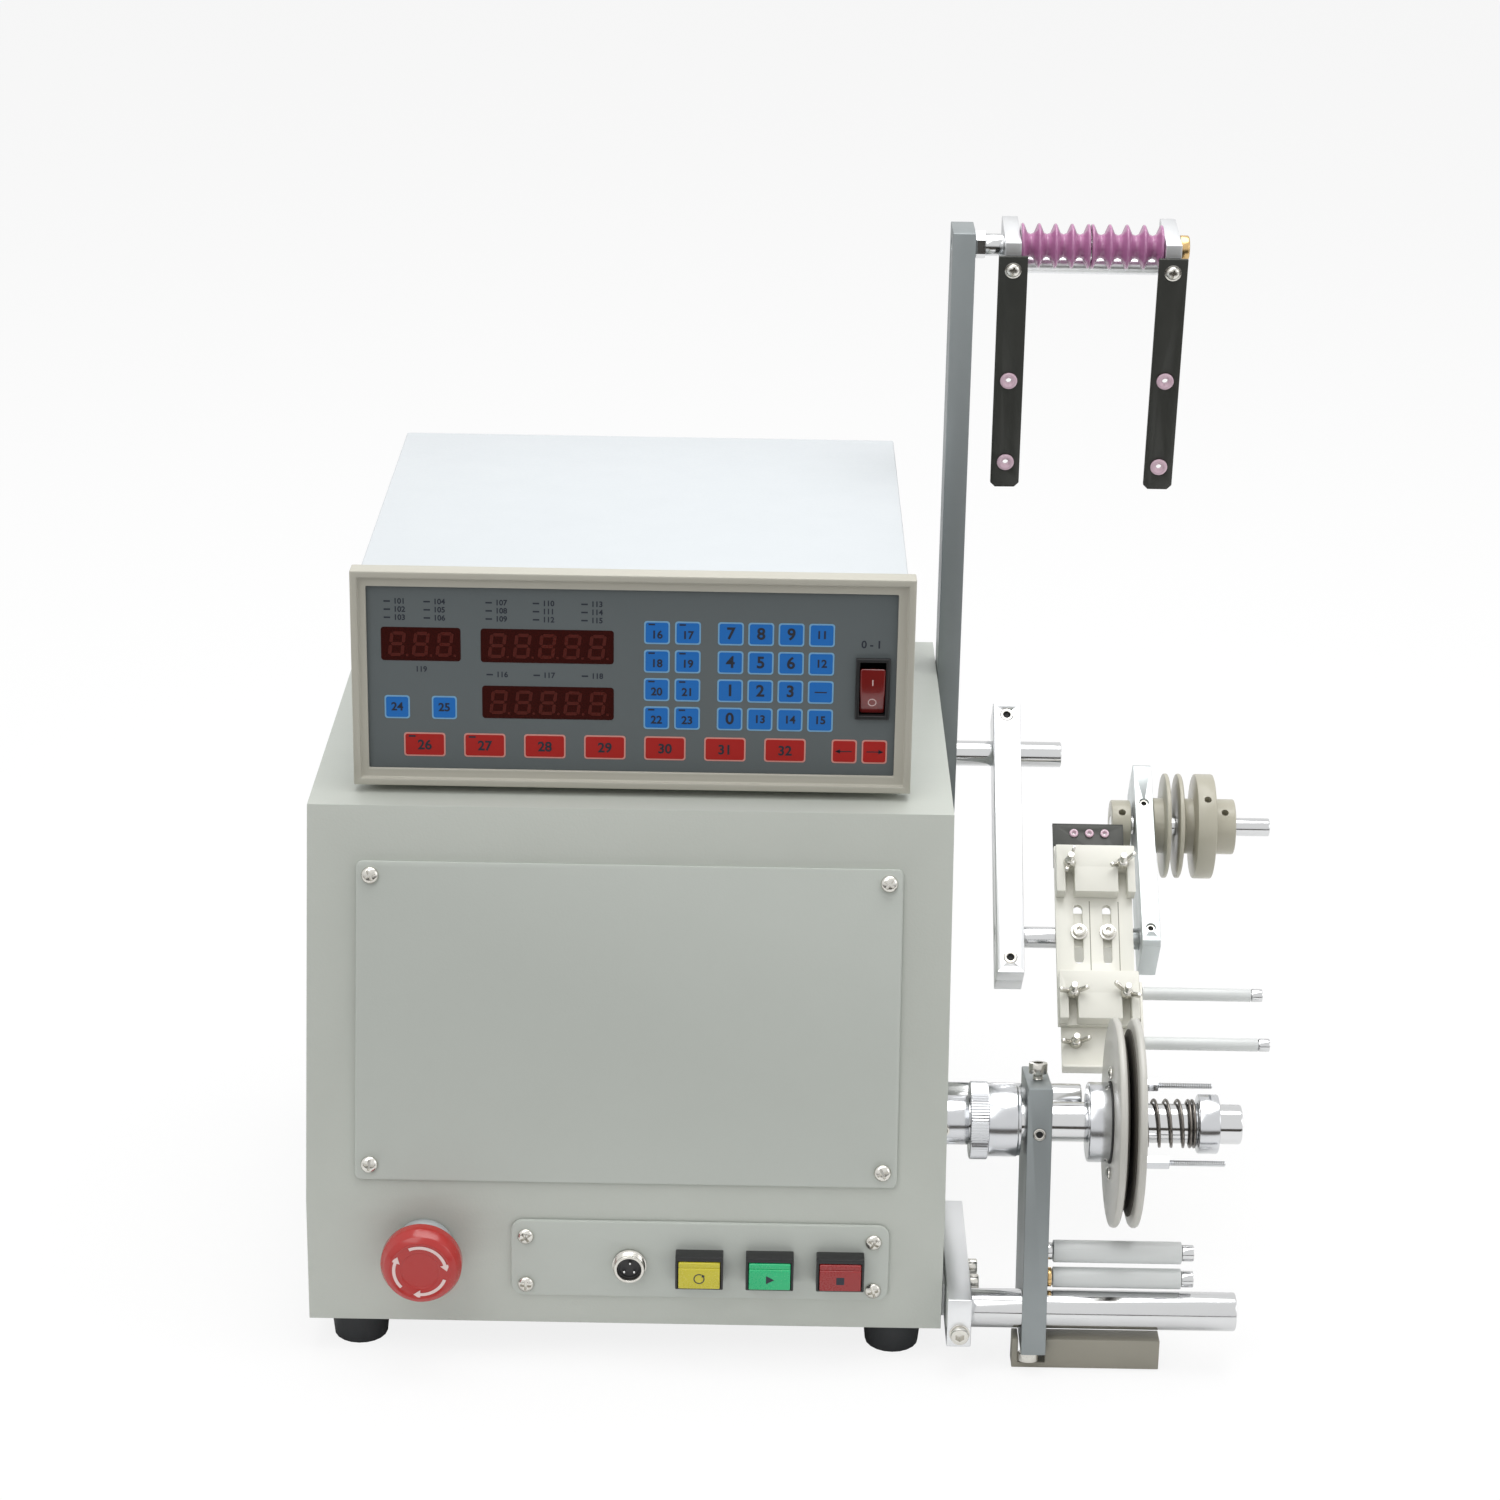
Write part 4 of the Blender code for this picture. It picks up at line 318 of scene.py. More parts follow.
class Form:
    """A shape in millimetres, made and changed with bmesh operators."""

    def __init__(self) -> None:
        """An empty shape."""
        self.shape = bmesh.new()

    @classmethod
    def cuboid(cls, low: Sequence[float], high: Sequence[float], edge: float = 0.5,
               segments: int = 2) -> "Form":
        """A block with rounded edges.

        Args:
            low: its lowest corner.
            high: its highest corner.
            edge: the width of its rounded edges.
            segments: the faces across each edge.

        Returns:
            The form.
        """
        made = cls()
        a, b = Vector(low), Vector(high)
        size = Matrix.Diagonal((*(b - a), 1.0))
        bmesh.ops.create_cube(made.shape, size=1.0, matrix=Matrix.Translation((a + b) / 2) @ size)
        return made.softened(edge, segments)

    @classmethod
    def sheet(cls, outline: Iterable[Pair], front: float, back: float, edge: float = 0.4,
              corner: float = 0.0, rounds: int = 5) -> "Form":
        """A plate that faces the viewer, cut to an outline in x and z.

        Args:
            outline: its corners, in turn.
            front: the y of its face.
            back: the y of its back.
            edge: the width of the rounding round its face.
            corner: the radius of its corners.
            rounds: the faces round each corner.

        Returns:
            The form.
        """
        made = cls()
        shape = made.shape
        corners = [shape.verts.new((x, front, z)) for x, z in outline]
        shape.faces.new(corners)
        if corner:
            bmesh.ops.bevel(shape, geom=corners, offset=corner, offset_type="OFFSET", segments=rounds,
                            profile=0.5, affect="VERTICES", clamp_overlap=True, material=-1)
        face = shape.faces[:]
        grown = bmesh.ops.extrude_face_region(shape, geom=face)["geom"]
        moved = [item for item in grown if isinstance(item, bmesh.types.BMVert)]
        bmesh.ops.translate(shape, verts=moved, vec=(0, back - front, 0))
        bmesh.ops.recalc_face_normals(shape, faces=shape.faces)
        if edge:
            rim = [e for e in shape.edges if all(abs(v.co.y - front) < TINY for v in e.verts)]
            bmesh.ops.bevel(shape, geom=rim, offset=edge, offset_type="OFFSET", segments=2, profile=0.5,
                            affect="EDGES", clamp_overlap=False, material=-1)
        return made

    @classmethod
    def turned(cls, profile: Sequence[Pair], edge: float = 0.3, steps: int = ROUND_STEPS) -> "Form":
        """A shape turned about the x axis.

        Args:
            profile: places along x with their radii, round the section.
            edge: the rounding of the section's corners.
            steps: the faces round the axis.

        Returns:
            The form.
        """
        made = cls()
        shape = made.shape
        corners = [shape.verts.new((x, 0.0, radius)) for x, radius in profile]
        shape.faces.new(corners)
        off_axis = [v for v in corners if v.co.z > TINY]
        if edge:
            bmesh.ops.bevel(shape, geom=off_axis, offset=edge, offset_type="OFFSET", segments=2, profile=0.5,
                            affect="VERTICES", clamp_overlap=True, material=-1)
        bmesh.ops.delete(shape, geom=shape.faces[:], context="FACES_ONLY")
        on_axis = [e for e in shape.edges if all(abs(v.co.z) < TINY for v in e.verts)]
        bmesh.ops.delete(shape, geom=on_axis, context="EDGES")
        bmesh.ops.spin(shape, geom=shape.verts[:] + shape.edges[:], cent=(0, 0, 0), axis=(1, 0, 0),
                       dvec=(0, 0, 0), angle=tau, steps=steps, use_merge=True, use_duplicate=False)
        bmesh.ops.remove_doubles(shape, verts=shape.verts, dist=TINY * 10)
        bmesh.ops.recalc_face_normals(shape, faces=shape.faces)
        return made

    @classmethod
    def tube(cls, start: float, end: float, inner: float, outer: float, edge: float = 0.3,
             steps: int = ROUND_STEPS) -> "Form":
        """A tube along the x axis, which is a solid rod where its inner radius is nought."""
        return cls.turned([(start, inner), (start, outer), (end, outer), (end, inner)], edge, steps)

    @classmethod
    def drill(cls, start: float, end: float, radius: float, x: float = 0.0, z: float = 0.0) -> "Form":
        """A cutter for a round hole that faces the viewer, from one depth to another."""
        return cls.tube(start, end, 0, radius, 0.0).placed(TOWARDS_VIEWER).moved(x, 0, z)

    @classmethod
    def of_node(cls, node: str) -> "Form":
        """A copy of a CAD node, merged, in the machine's millimetres."""
        made = cls()
        made.shape.from_mesh(bpy.data.objects[node].data)
        bmesh.ops.translate(made.shape, verts=made.shape.verts, vec=-ORIGIN)
        bmesh.ops.scale(made.shape, verts=made.shape.verts, vec=(1 / MM,) * 3)
        bmesh.ops.remove_doubles(made.shape, verts=made.shape.verts, dist=0.002)
        bmesh.ops.dissolve_limit(made.shape, angle_limit=radians(0.6), verts=made.shape.verts,
                                 edges=made.shape.edges, use_dissolve_boundaries=False, delimit={"NORMAL"})
        return made

    @classmethod
    def figures(cls, text: str, height: float, x: float, z: float, front: float) -> "Form":
        """Figures that face the viewer, centred on a place.

        Args:
            text: the figures.
            height: the height of the type.
            x: the middle.
            z: the middle.
            front: the y of their face.

        Returns:
            The form.
        """
        curve = bpy.data.curves.new("figures", "FONT")
        curve.body = text
        curve.size = height * 1.35
        curve.align_x = "CENTER"
        curve.align_y = "CENTER"
        curve.resolution_u = 4
        curve.offset = height * 0.035
        holder = bpy.data.objects.new("figures", curve)
        mesh = bpy.data.meshes.new_from_object(holder)
        made = cls()
        made.shape.from_mesh(mesh)
        bpy.data.objects.remove(holder)
        bpy.data.curves.remove(curve)
        bpy.data.meshes.remove(mesh)
        shape = made.shape
        grown = bmesh.ops.extrude_face_region(shape, geom=shape.faces[:])["geom"]
        moved = [item for item in grown if isinstance(item, bmesh.types.BMVert)]
        bmesh.ops.translate(shape, verts=moved, vec=(0, 0, LABEL_LIFT))
        bmesh.ops.recalc_face_normals(shape, faces=shape.faces)
        return made.placed(Matrix.Translation((x, front + LABEL_LIFT, z)) @ Matrix.Rotation(pi / 2, 4, "X"))

    def softened(self, width: float, segments: int = 2, sharper: float = 28.0) -> "Form":
        """Rounds every edge that is sharper than this many degrees."""
        if width:
            chosen = [e for e in self.shape.edges if len(e.link_faces) == 2
                      and e.calc_face_angle(0.0) > radians(sharper)]
            bmesh.ops.bevel(self.shape, geom=chosen, offset=width, offset_type="OFFSET", segments=segments,
                            profile=0.5, affect="EDGES", clamp_overlap=True, material=-1)
        return self

    def placed(self, matrix: Matrix) -> "Form":
        """Moves the shape by a matrix."""
        bmesh.ops.transform(self.shape, matrix=matrix, verts=self.shape.verts)
        return self

    def moved(self, x: float = 0.0, y: float = 0.0, z: float = 0.0) -> "Form":
        """Moves the shape along the axes."""
        return self.placed(Matrix.Translation((x, y, z)))

    def mesh(self, name: str) -> bpy.types.Mesh:
        """Hands the shape over as a mesh."""
        made = bpy.data.meshes.new(name)
        self.shape.to_mesh(made)
        self.shape.free()
        return made

    def plus(self, *others: "Form") -> "Form":
        """Adds other forms to this one."""
        for other in others:
            mesh = other.mesh("added")
            self.shape.from_mesh(mesh)
            bpy.data.meshes.remove(mesh)
        return self

    def minus(self, *cutters: "Form") -> "Form":
        """Cuts other forms out of this one.

        Args:
            cutters: the forms to cut away.

        Returns:
            This form, cut.
        """
        body = bpy.data.objects.new("cut_body", self.mesh("cut_body"))
        bpy.context.scene.collection.objects.link(body)
        tools = []
        for cutter in cutters:
            tool = bpy.data.objects.new("cut_tool", cutter.mesh("cut_tool"))
            bpy.context.scene.collection.objects.link(tool)
            change = body.modifiers.new("cut", "BOOLEAN")
            change.operation = "DIFFERENCE"
            change.solver = "EXACT"
            change.object = tool
            tools.append(tool)
        bpy.context.view_layer.update()
        graph = bpy.context.evaluated_depsgraph_get()
        result = bpy.data.meshes.new_from_object(body.evaluated_get(graph))
        self.shape = bmesh.new()
        self.shape.from_mesh(result)
        bpy.data.meshes.remove(result)
        for item in [body, *tools]:
            old = item.data
            bpy.data.objects.remove(item)
            bpy.data.meshes.remove(old)
        return self


class Place:
    """Where a sub-assembly's own axes lie in the machine."""

    @staticmethod
    def at(y: float = 0.0, z: float = 0.0, lean: float = 0.0, x: float = 0.0) -> Matrix:
        """A place in the machine's millimetres, leaning back by this angle in degrees."""
        return Matrix.Translation((x, y, z)) @ Matrix.Rotation(-radians(lean), 4, "X")

    @staticmethod
    def metres() -> Matrix:
        """From the machine's millimetres to the frame's metres."""
        return Matrix.Translation(ORIGIN) @ Matrix.Scale(MM, 4)


def fit(name: str, form: Form, look: Looks, body: str, *stands_for: str, place: Matrix | None = None,
        crease: float = 32.0) -> bpy.types.Object:
    """Makes a piece of the machine.

    Args:
        name: the piece's name.
        form: its shape.
        look: its finish.
        body: the body that it rides on.
        stands_for: the CAD nodes that it replaces.
        place: where its own axes lie.
        crease: the angle in degrees above which an edge stays sharp.

    Returns:
        The finished object.
    """
    form.placed(Place.metres() @ (place or Matrix.Identity(4)))
    mesh = form.mesh(name)
    mesh.materials.clear()
    mesh.materials.append(look.material())
    for polygon in mesh.polygons:
        polygon.use_smooth = True
        polygon.material_index = 0
    mesh.set_sharp_from_angle(angle=radians(crease))
    piece = bpy.data.objects.new(name, mesh)
    bpy.context.scene.collection.objects.link(piece)
    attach(piece, body)
    if stands_for:
        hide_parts(*stands_for)
    LOG.info("%s: %s, on %s", name, look.name.lower(), body)
    return piece


def dress(name: str, node: str, look: Looks, width: float, segments: int = 2, body: str = "cabinet") -> None:
    """Fits the own shape of a CAD node, with its edges rounded by this width."""
    fit(name, Form.of_node(node).softened(width, segments), look, body, node)


def refinish(look: Looks, *nodes: str) -> None:
    """Gives CAD nodes that keep their own shape a better finish.

    Args:
        look: the finish.
        nodes: the nodes.
    """
    for node in nodes:
        mesh = bpy.data.objects[node].data
        mesh.materials.clear()
        mesh.materials.append(look.material())
        LOG.info("%s: %s, as it is", node, look.name.lower())


@dataclass
class Fasteners:
    """The screws and nuts, each with its seat at y 0 and its head towards the viewer."""

    pitch: float = 0.9
    thread: float = 0.28

    def cap(self, radius: float, height: float, washer: float = 0.0) -> Form:
        """A socket head cap screw, with its hexagon socket."""
        head = Form.tube(0, height, 0, radius, 0.5, ROUND_STEPS)
        socket = Form.tube(height * 0.35, height + 1, 0, radius * 0.56, 0.0, 6)
        head.minus(socket)
        if washer:
            head.plus(Form.tube(-0.2, 0.5, 0, washer, 0.15, ROUND_STEPS))
        return head.placed(TOWARDS_VIEWER)

    def pan(self, radius: float, slots: Sequence[float] = (20.0, 110.0), washer: float = 0.0) -> Form:
        """A pan head screw with a slot at each of these angles: two for a cross."""
        height = radius * 0.62
        head = Form.turned([(-0.2, 0), (-0.2, radius), (height * 0.45, radius),
                            (height * 0.9, radius * 0.62), (height, 0)], radius * 0.18, ROUND_STEPS)
        half = radius * 0.16
        for angle in slots:
            slot = Form.cuboid((height * 0.1, -radius * 0.66, -half), (height + 1, radius * 0.66, half), 0.0)
            head.minus(slot.placed(Matrix.Rotation(radians(angle), 4, "X")))
        if washer:
            head.plus(Form.tube(-0.3, 0.4, 0, washer, 0.15, ROUND_STEPS))
        return head.placed(TOWARDS_VIEWER)

    def threaded(self, start: float, end: float, radius: float) -> Form:
        """A threaded stud along x."""
        count = int((end - start) / self.pitch)
        profile = [(start, 0.0), (start, radius - self.thread)]
        for i in range(count):
            profile.append((start + (i + 0.5) * self.pitch, radius))
            profile.append((start + (i + 1) * self.pitch, radius - self.thread))
        profile += [(end, radius - self.thread), (end, 0.0)]
        return Form.turned(profile, 0.0, SMALL_STEPS)

    def wing(self, turn: float, stud: float, reach: float = 8.2) -> Form:
        """A wing nut on its stud.

        Args:
            turn: how far it is turned, in degrees.
            stud: how far the stud stands out.
            reach: how far each wing reaches.

        Returns:
            The form.
        """
        boss = Form.turned([(0.3, 1.4), (0.3, 3.5), (3.4, 2.7), (4.2, 1.4)], 0.35, SMALL_STEPS)
        ear = [(1.6, 0.9), (3.3, 1.1), (reach - 1.1, 3.4), (reach, 5.6), (reach - 0.7, 6.8),
               (reach - 2.2, 6.6), (2.6, 4.0), (1.6, 3.6)]
        for side in (1, -1):
            wing = Form.sheet([(side * a, b) for a, b in ear], -0.8, 0.8, 0.0, 0.5, 3).softened(0.45, 2)
            boss.plus(wing.placed(self.ear_turn()))
        boss.plus(self.threaded(-0.5, stud, 1.85))
        return boss.placed(TOWARDS_VIEWER @ Matrix.Rotation(radians(turn), 4, "X"))

    @staticmethod
    def ear_turn() -> Matrix:
        """Turns an ear's sideways and outward directions to y and x."""
        return Matrix(((0, 0, 1, 0), (1, 0, 0, 0), (0, 1, 0, 0), (0, 0, 0, 1)))


BOLTS = Fasteners()


def socket_screw(name: str, radius: float, place: Matrix, body: str) -> None:
    """A bright socket screw with painted shade in its hexagon socket as a black plug, its seat at the place.

    Args:
        name: the screw's name.
        radius: the radius of its head.
        place: where its seat lies, with its head towards the viewer.
        body: the body that it rides on.
    """
    ring = Form.tube(0, 2.4, radius * 0.55, radius, 0.3, ROUND_STEPS)
    fit(name, ring.placed(TOWARDS_VIEWER), Looks.SCREW, body, place=place)
    # The black plug in the ring is painted shade at the bottom of the hexagon socket.
    dark = Form.tube(-0.6, 0.8, 0, radius * 0.6, 0.0, 6)
    fit(f"{name}_hexagon", dark.placed(TOWARDS_VIEWER), Looks.HOLE, body, place=place)


@dataclass
class CabinetLooks:
    """The painted cabinet, its plates, its feet and its front controls."""

    cover_half: Pair = (135.5, 80.5)
    cover_down: float = 108.0
    crease_z: float = 84.3
    top_z: float = 279.5
    lean_back: float = 46.35
    cover_screws: tuple = ((-128.5, 73.4), (128.5, 73.4), (-128.2, -72.8), (128.2, -72.8))
    plate_x: Pair = (-57.4, 132.6)
    plate_z: Pair = (34.5, 76.5)
    plate_screws: tuple = ((-50.0, 67.9), (124.6, 67.7), (-50.0, 40.9), (125.0, 40.4))
    control_z: float = 53.0
    button_x: tuple = (37.4, 72.7, 108.1)
    socket_x: float = 2.2
    stop_x: float = -100.9
    stop_z: float = 60.5
    stop_ink: float = -27.42
    stop_radius: float = 20.3

    def build(self) -> None:
        """Every piece of the cabinet."""
        dress("cabinet_painted_shell", "cabinet_shell", Looks.PAINT, 1.3, 3)
        dress("rubber_feet_and_base", "base_plate", Looks.RUBBER, 1.2, 3)
        refinish(Looks.PAINT, "back_panel")
        self.cover()
        self.switch_plate()
        self.buttons()
        self.pedal_socket()
        self.stop()

    def cover(self) -> None:
        """The cover plate on the leaning front, with its four screws."""
        lean = atan2(self.lean_back, self.top_z - self.crease_z)
        middle = Place.at(self.lean_back - self.cover_down * sin(lean),
                          self.top_z - self.cover_down * cos(lean), lean * 180 / pi)
        a, b = self.cover_half
        plate = Form.sheet([(-a, -b), (a, -b), (a, b), (-a, b)], -2.3, -0.3, 0.6, 3.0)
        fit("cover_plate", plate, Looks.PLATE_PAINT, "cabinet", "front_cover_plate", place=middle)
        for i, (x, z) in enumerate(self.cover_screws):
            screw = BOLTS.pan(4.4, (25.0 + 30 * i, 115.0 + 30 * i)).moved(x, -2.3, z)
            fit(f"cover_screw_{i + 1}", screw, Looks.SCREW, "cabinet", place=middle)

    def switch_plate(self) -> None:
        """The plate of the socket and buttons, with its four screws."""
        (x0, x1), (z0, z1) = self.plate_x, self.plate_z
        plate = Form.sheet([(x0, z0), (x1, z0), (x1, z1), (x0, z1)], -2.3, -0.3, 0.8, 6.0)
        plate.minus(Form.drill(-4, 4, 8.0, self.socket_x, self.control_z))
        fit("switch_plate_sheet", plate, Looks.PLATE_PAINT, "cabinet", "switch_plate")
        for i, (x, z) in enumerate(self.plate_screws):
            screw = BOLTS.pan(4.2, (35.0 + 25 * i, 125.0 + 25 * i)).moved(x, -2.3, z)
            fit(f"switch_plate_screw_{i + 1}", screw, Looks.SCREW, "cabinet")

    def buttons(self) -> None:
        """The three push buttons in their black bezels, each with a plain mark."""
        looks = (Looks.LENS_YELLOW, Looks.LENS_GREEN, Looks.LENS_RED)
        marks = (self.turn_mark(), self.play_mark(), self.halt_mark())
        for x, label, look, mark in zip(self.button_x, ("yellow", "green", "red"), looks, marks):
            z = self.control_z
            bezel = Form.cuboid((x - 12, -11.3, z - 9), (x + 12, -2.3, z + 9), 0.5)
            bezel.minus(Form.cuboid((x - 10.9, -14, z - 8.1), (x + 10.9, -5.0, z + 6.9), 0.0))
            fit(f"{label}_button_bezel", bezel, Looks.BLACK, "cabinet")
            cap = Form.cuboid((x - 10.4, -12.9, z - 7.7), (x + 10.4, -9.3, z + 3.6), 0.6, 3)
            cap.plus(Form.cuboid((x - 10.4, -12.3, z + 3.3), (x + 10.4, -9.3, z + 6.5), 0.6, 3))
            fit(f"{label}_button_lens", cap, look, f"{label}_button", f"button_cap_{label}")
            mark.moved(x, -12.95, z - 2.0)
            fit(f"{label}_button_mark", mark, Looks.INK, f"{label}_button")

    def turn_mark(self) -> Form:
        """A ring arrow."""
        return Ink.arc(2.5, 0.55, 60.0, 330.0, True)

    def play_mark(self) -> Form:
        """A start triangle."""
        return Form.sheet([(-1.8, -2.3), (2.4, 0.0), (-1.8, 2.3)], 0.0, 0.08, 0.0, 0.2, 2)

    def halt_mark(self) -> Form:
        """A halt square."""
        return Form.sheet([(-2.0, -2.0), (2.0, -2.0), (2.0, 2.0), (-2.0, 2.0)], 0.0, 0.08, 0.0, 0.2, 2)

    def pedal_socket(self) -> None:
        """The round socket for the foot pedal: a threaded ring, a black insert and its pins."""
        place = Place.at(0.0, self.control_z, 0.0, self.socket_x) @ TOWARDS_VIEWER
        ring = [(2.6, 6.1), (2.6, 8.6), (3.8, 8.6), (4.0, 7.7)]
        for i in range(4):
            ring += [(4.4 + i * 0.9, 8.1), (4.8 + i * 0.9, 7.6)]
        ring += [(8.3, 7.6), (8.6, 7.2), (8.6, 6.3), (8.2, 6.1)]
        fit("pedal_socket_ring", Form.turned(ring, 0.1, 48), Looks.SCREW, "cabinet", "pedal_socket",
            place=place)
        insert = Form.turned([(-2, 0), (-2, 6.0), (6.4, 6.0), (6.4, 5.2), (5.4, 5.0), (5.4, 0)], 0.15)
        fit("pedal_socket_insert", insert, Looks.BLACK, "cabinet", place=place)
        pins = Form()
        for y, z in ((0.4, 3.0), (2.5, -1.8), (-2.5, -1.8)):
            pin = Form.turned([(5.0, 0), (5.0, 0.75), (7.4, 0.75), (7.9, 0.4), (7.9, 0)], 0.1, 12)
            pins.plus(pin.moved(0, y, z))
        fit("pedal_socket_pins", pins, Looks.ROD, "cabinet", place=place)

    def stop(self) -> None:
        """The emergency stop: its grey collar, the red mushroom head and three white arrows."""
        place = Place.at(0.0, self.stop_z, 0.0, self.stop_x) @ TOWARDS_VIEWER
        collar = Form.turned([(0.3, 6.2), (0.3, 15.0), (4.6, 15.0), (5.2, 14.2), (9.3, 13.8), (9.3, 6.2)],
                             0.5, 48)
        fit("stop_collar_ring", collar, Looks.COLLAR, "cabinet", "estop_collar", place=place)
        r = self.stop_radius
        head = Form.turned([(6.2, 0), (6.2, 5.6), (14.3, 5.9), (14.0, r - 1.2), (15.6, r), (21.0, r),
                            (25.6, r - 2.2), (27.8, r - 5.0), (27.3, r - 6.2), (27.0, 9.9), (26.5, 9.5),
                            (26.5, 0)], 1.0, FINE_STEPS)
        fit("stop_mushroom_head", head, Looks.STOP_RED, "stop_mushroom", "estop_head", place=place)
        arrows = Form()
        for start, sweep in ((114.0, 98.0), (-20.0, 70.0), (-136.0, 64.0)):
            arrows.plus(Ink.arc(13.0, 1.6, start, -sweep, True, 3.4))
        arrows.moved(self.stop_x, self.stop_ink, self.stop_z)
        fit("stop_head_arrows", arrows, Looks.WHITE_INK, "stop_mushroom")
        refinish(Looks.NYLON, "estop_stem")


class Ink:
    """Thin printed marks that face the viewer, their faces at y 0."""

    @staticmethod
    def arc(radius: float, width: float, start: float, sweep: float, arrow: bool, head: float = 1.4) -> Form:
        """Part of a ring, with an arrow head at its end.

        Args:
            radius: the ring's middle radius.
            width: the line's width.
            start: where it starts, in degrees from the right, anticlockwise.
            sweep: how far it goes, in degrees.
            arrow: whether it ends in an arrow head.
            head: the head's length and half its width.

        Returns:
            The form.
        """
        made = Form()
        shape = made.shape
        a = radians(start)
        radii = (radius - width / 2, radius + width / 2)
        ends = [shape.verts.new((r * cos(a), 0.0, r * sin(a))) for r in radii]
        line = shape.edges.new(ends)
        steps = max(6, int(abs(sweep) / 6))
        bmesh.ops.spin(shape, geom=ends + [line], cent=(0, 0, 0), axis=(0, 1, 0), dvec=(0, 0, 0),
                       angle=-radians(sweep), steps=steps, use_merge=False, use_duplicate=False)
        bmesh.ops.solidify(shape, geom=shape.faces[:], thickness=INK_DEPTH)
        bmesh.ops.recalc_face_normals(shape, faces=shape.faces)
        if arrow:
            b = radians(start + sweep)
            along = head if sweep > 0 else -head
            tip = (radius * cos(b) - along * sin(b), radius * sin(b) + along * cos(b))
            inner = ((radius - head * 0.7) * cos(b), (radius - head * 0.7) * sin(b))
            outer = ((radius + head * 0.7) * cos(b), (radius + head * 0.7) * sin(b))
            made.plus(Form.sheet([tip, outer, inner], -INK_DEPTH, INK_DEPTH, 0.0))
        return made

    @staticmethod
    def pad(x0: float, x1: float, z0: float, z1: float, front: float, back: float, corner: float) -> Form:
        """A thin rounded rectangle between these limits."""
        return Form.sheet([(x0, z0), (x1, z0), (x1, z1), (x0, z1)], front, back, 0.0, corner, 4)


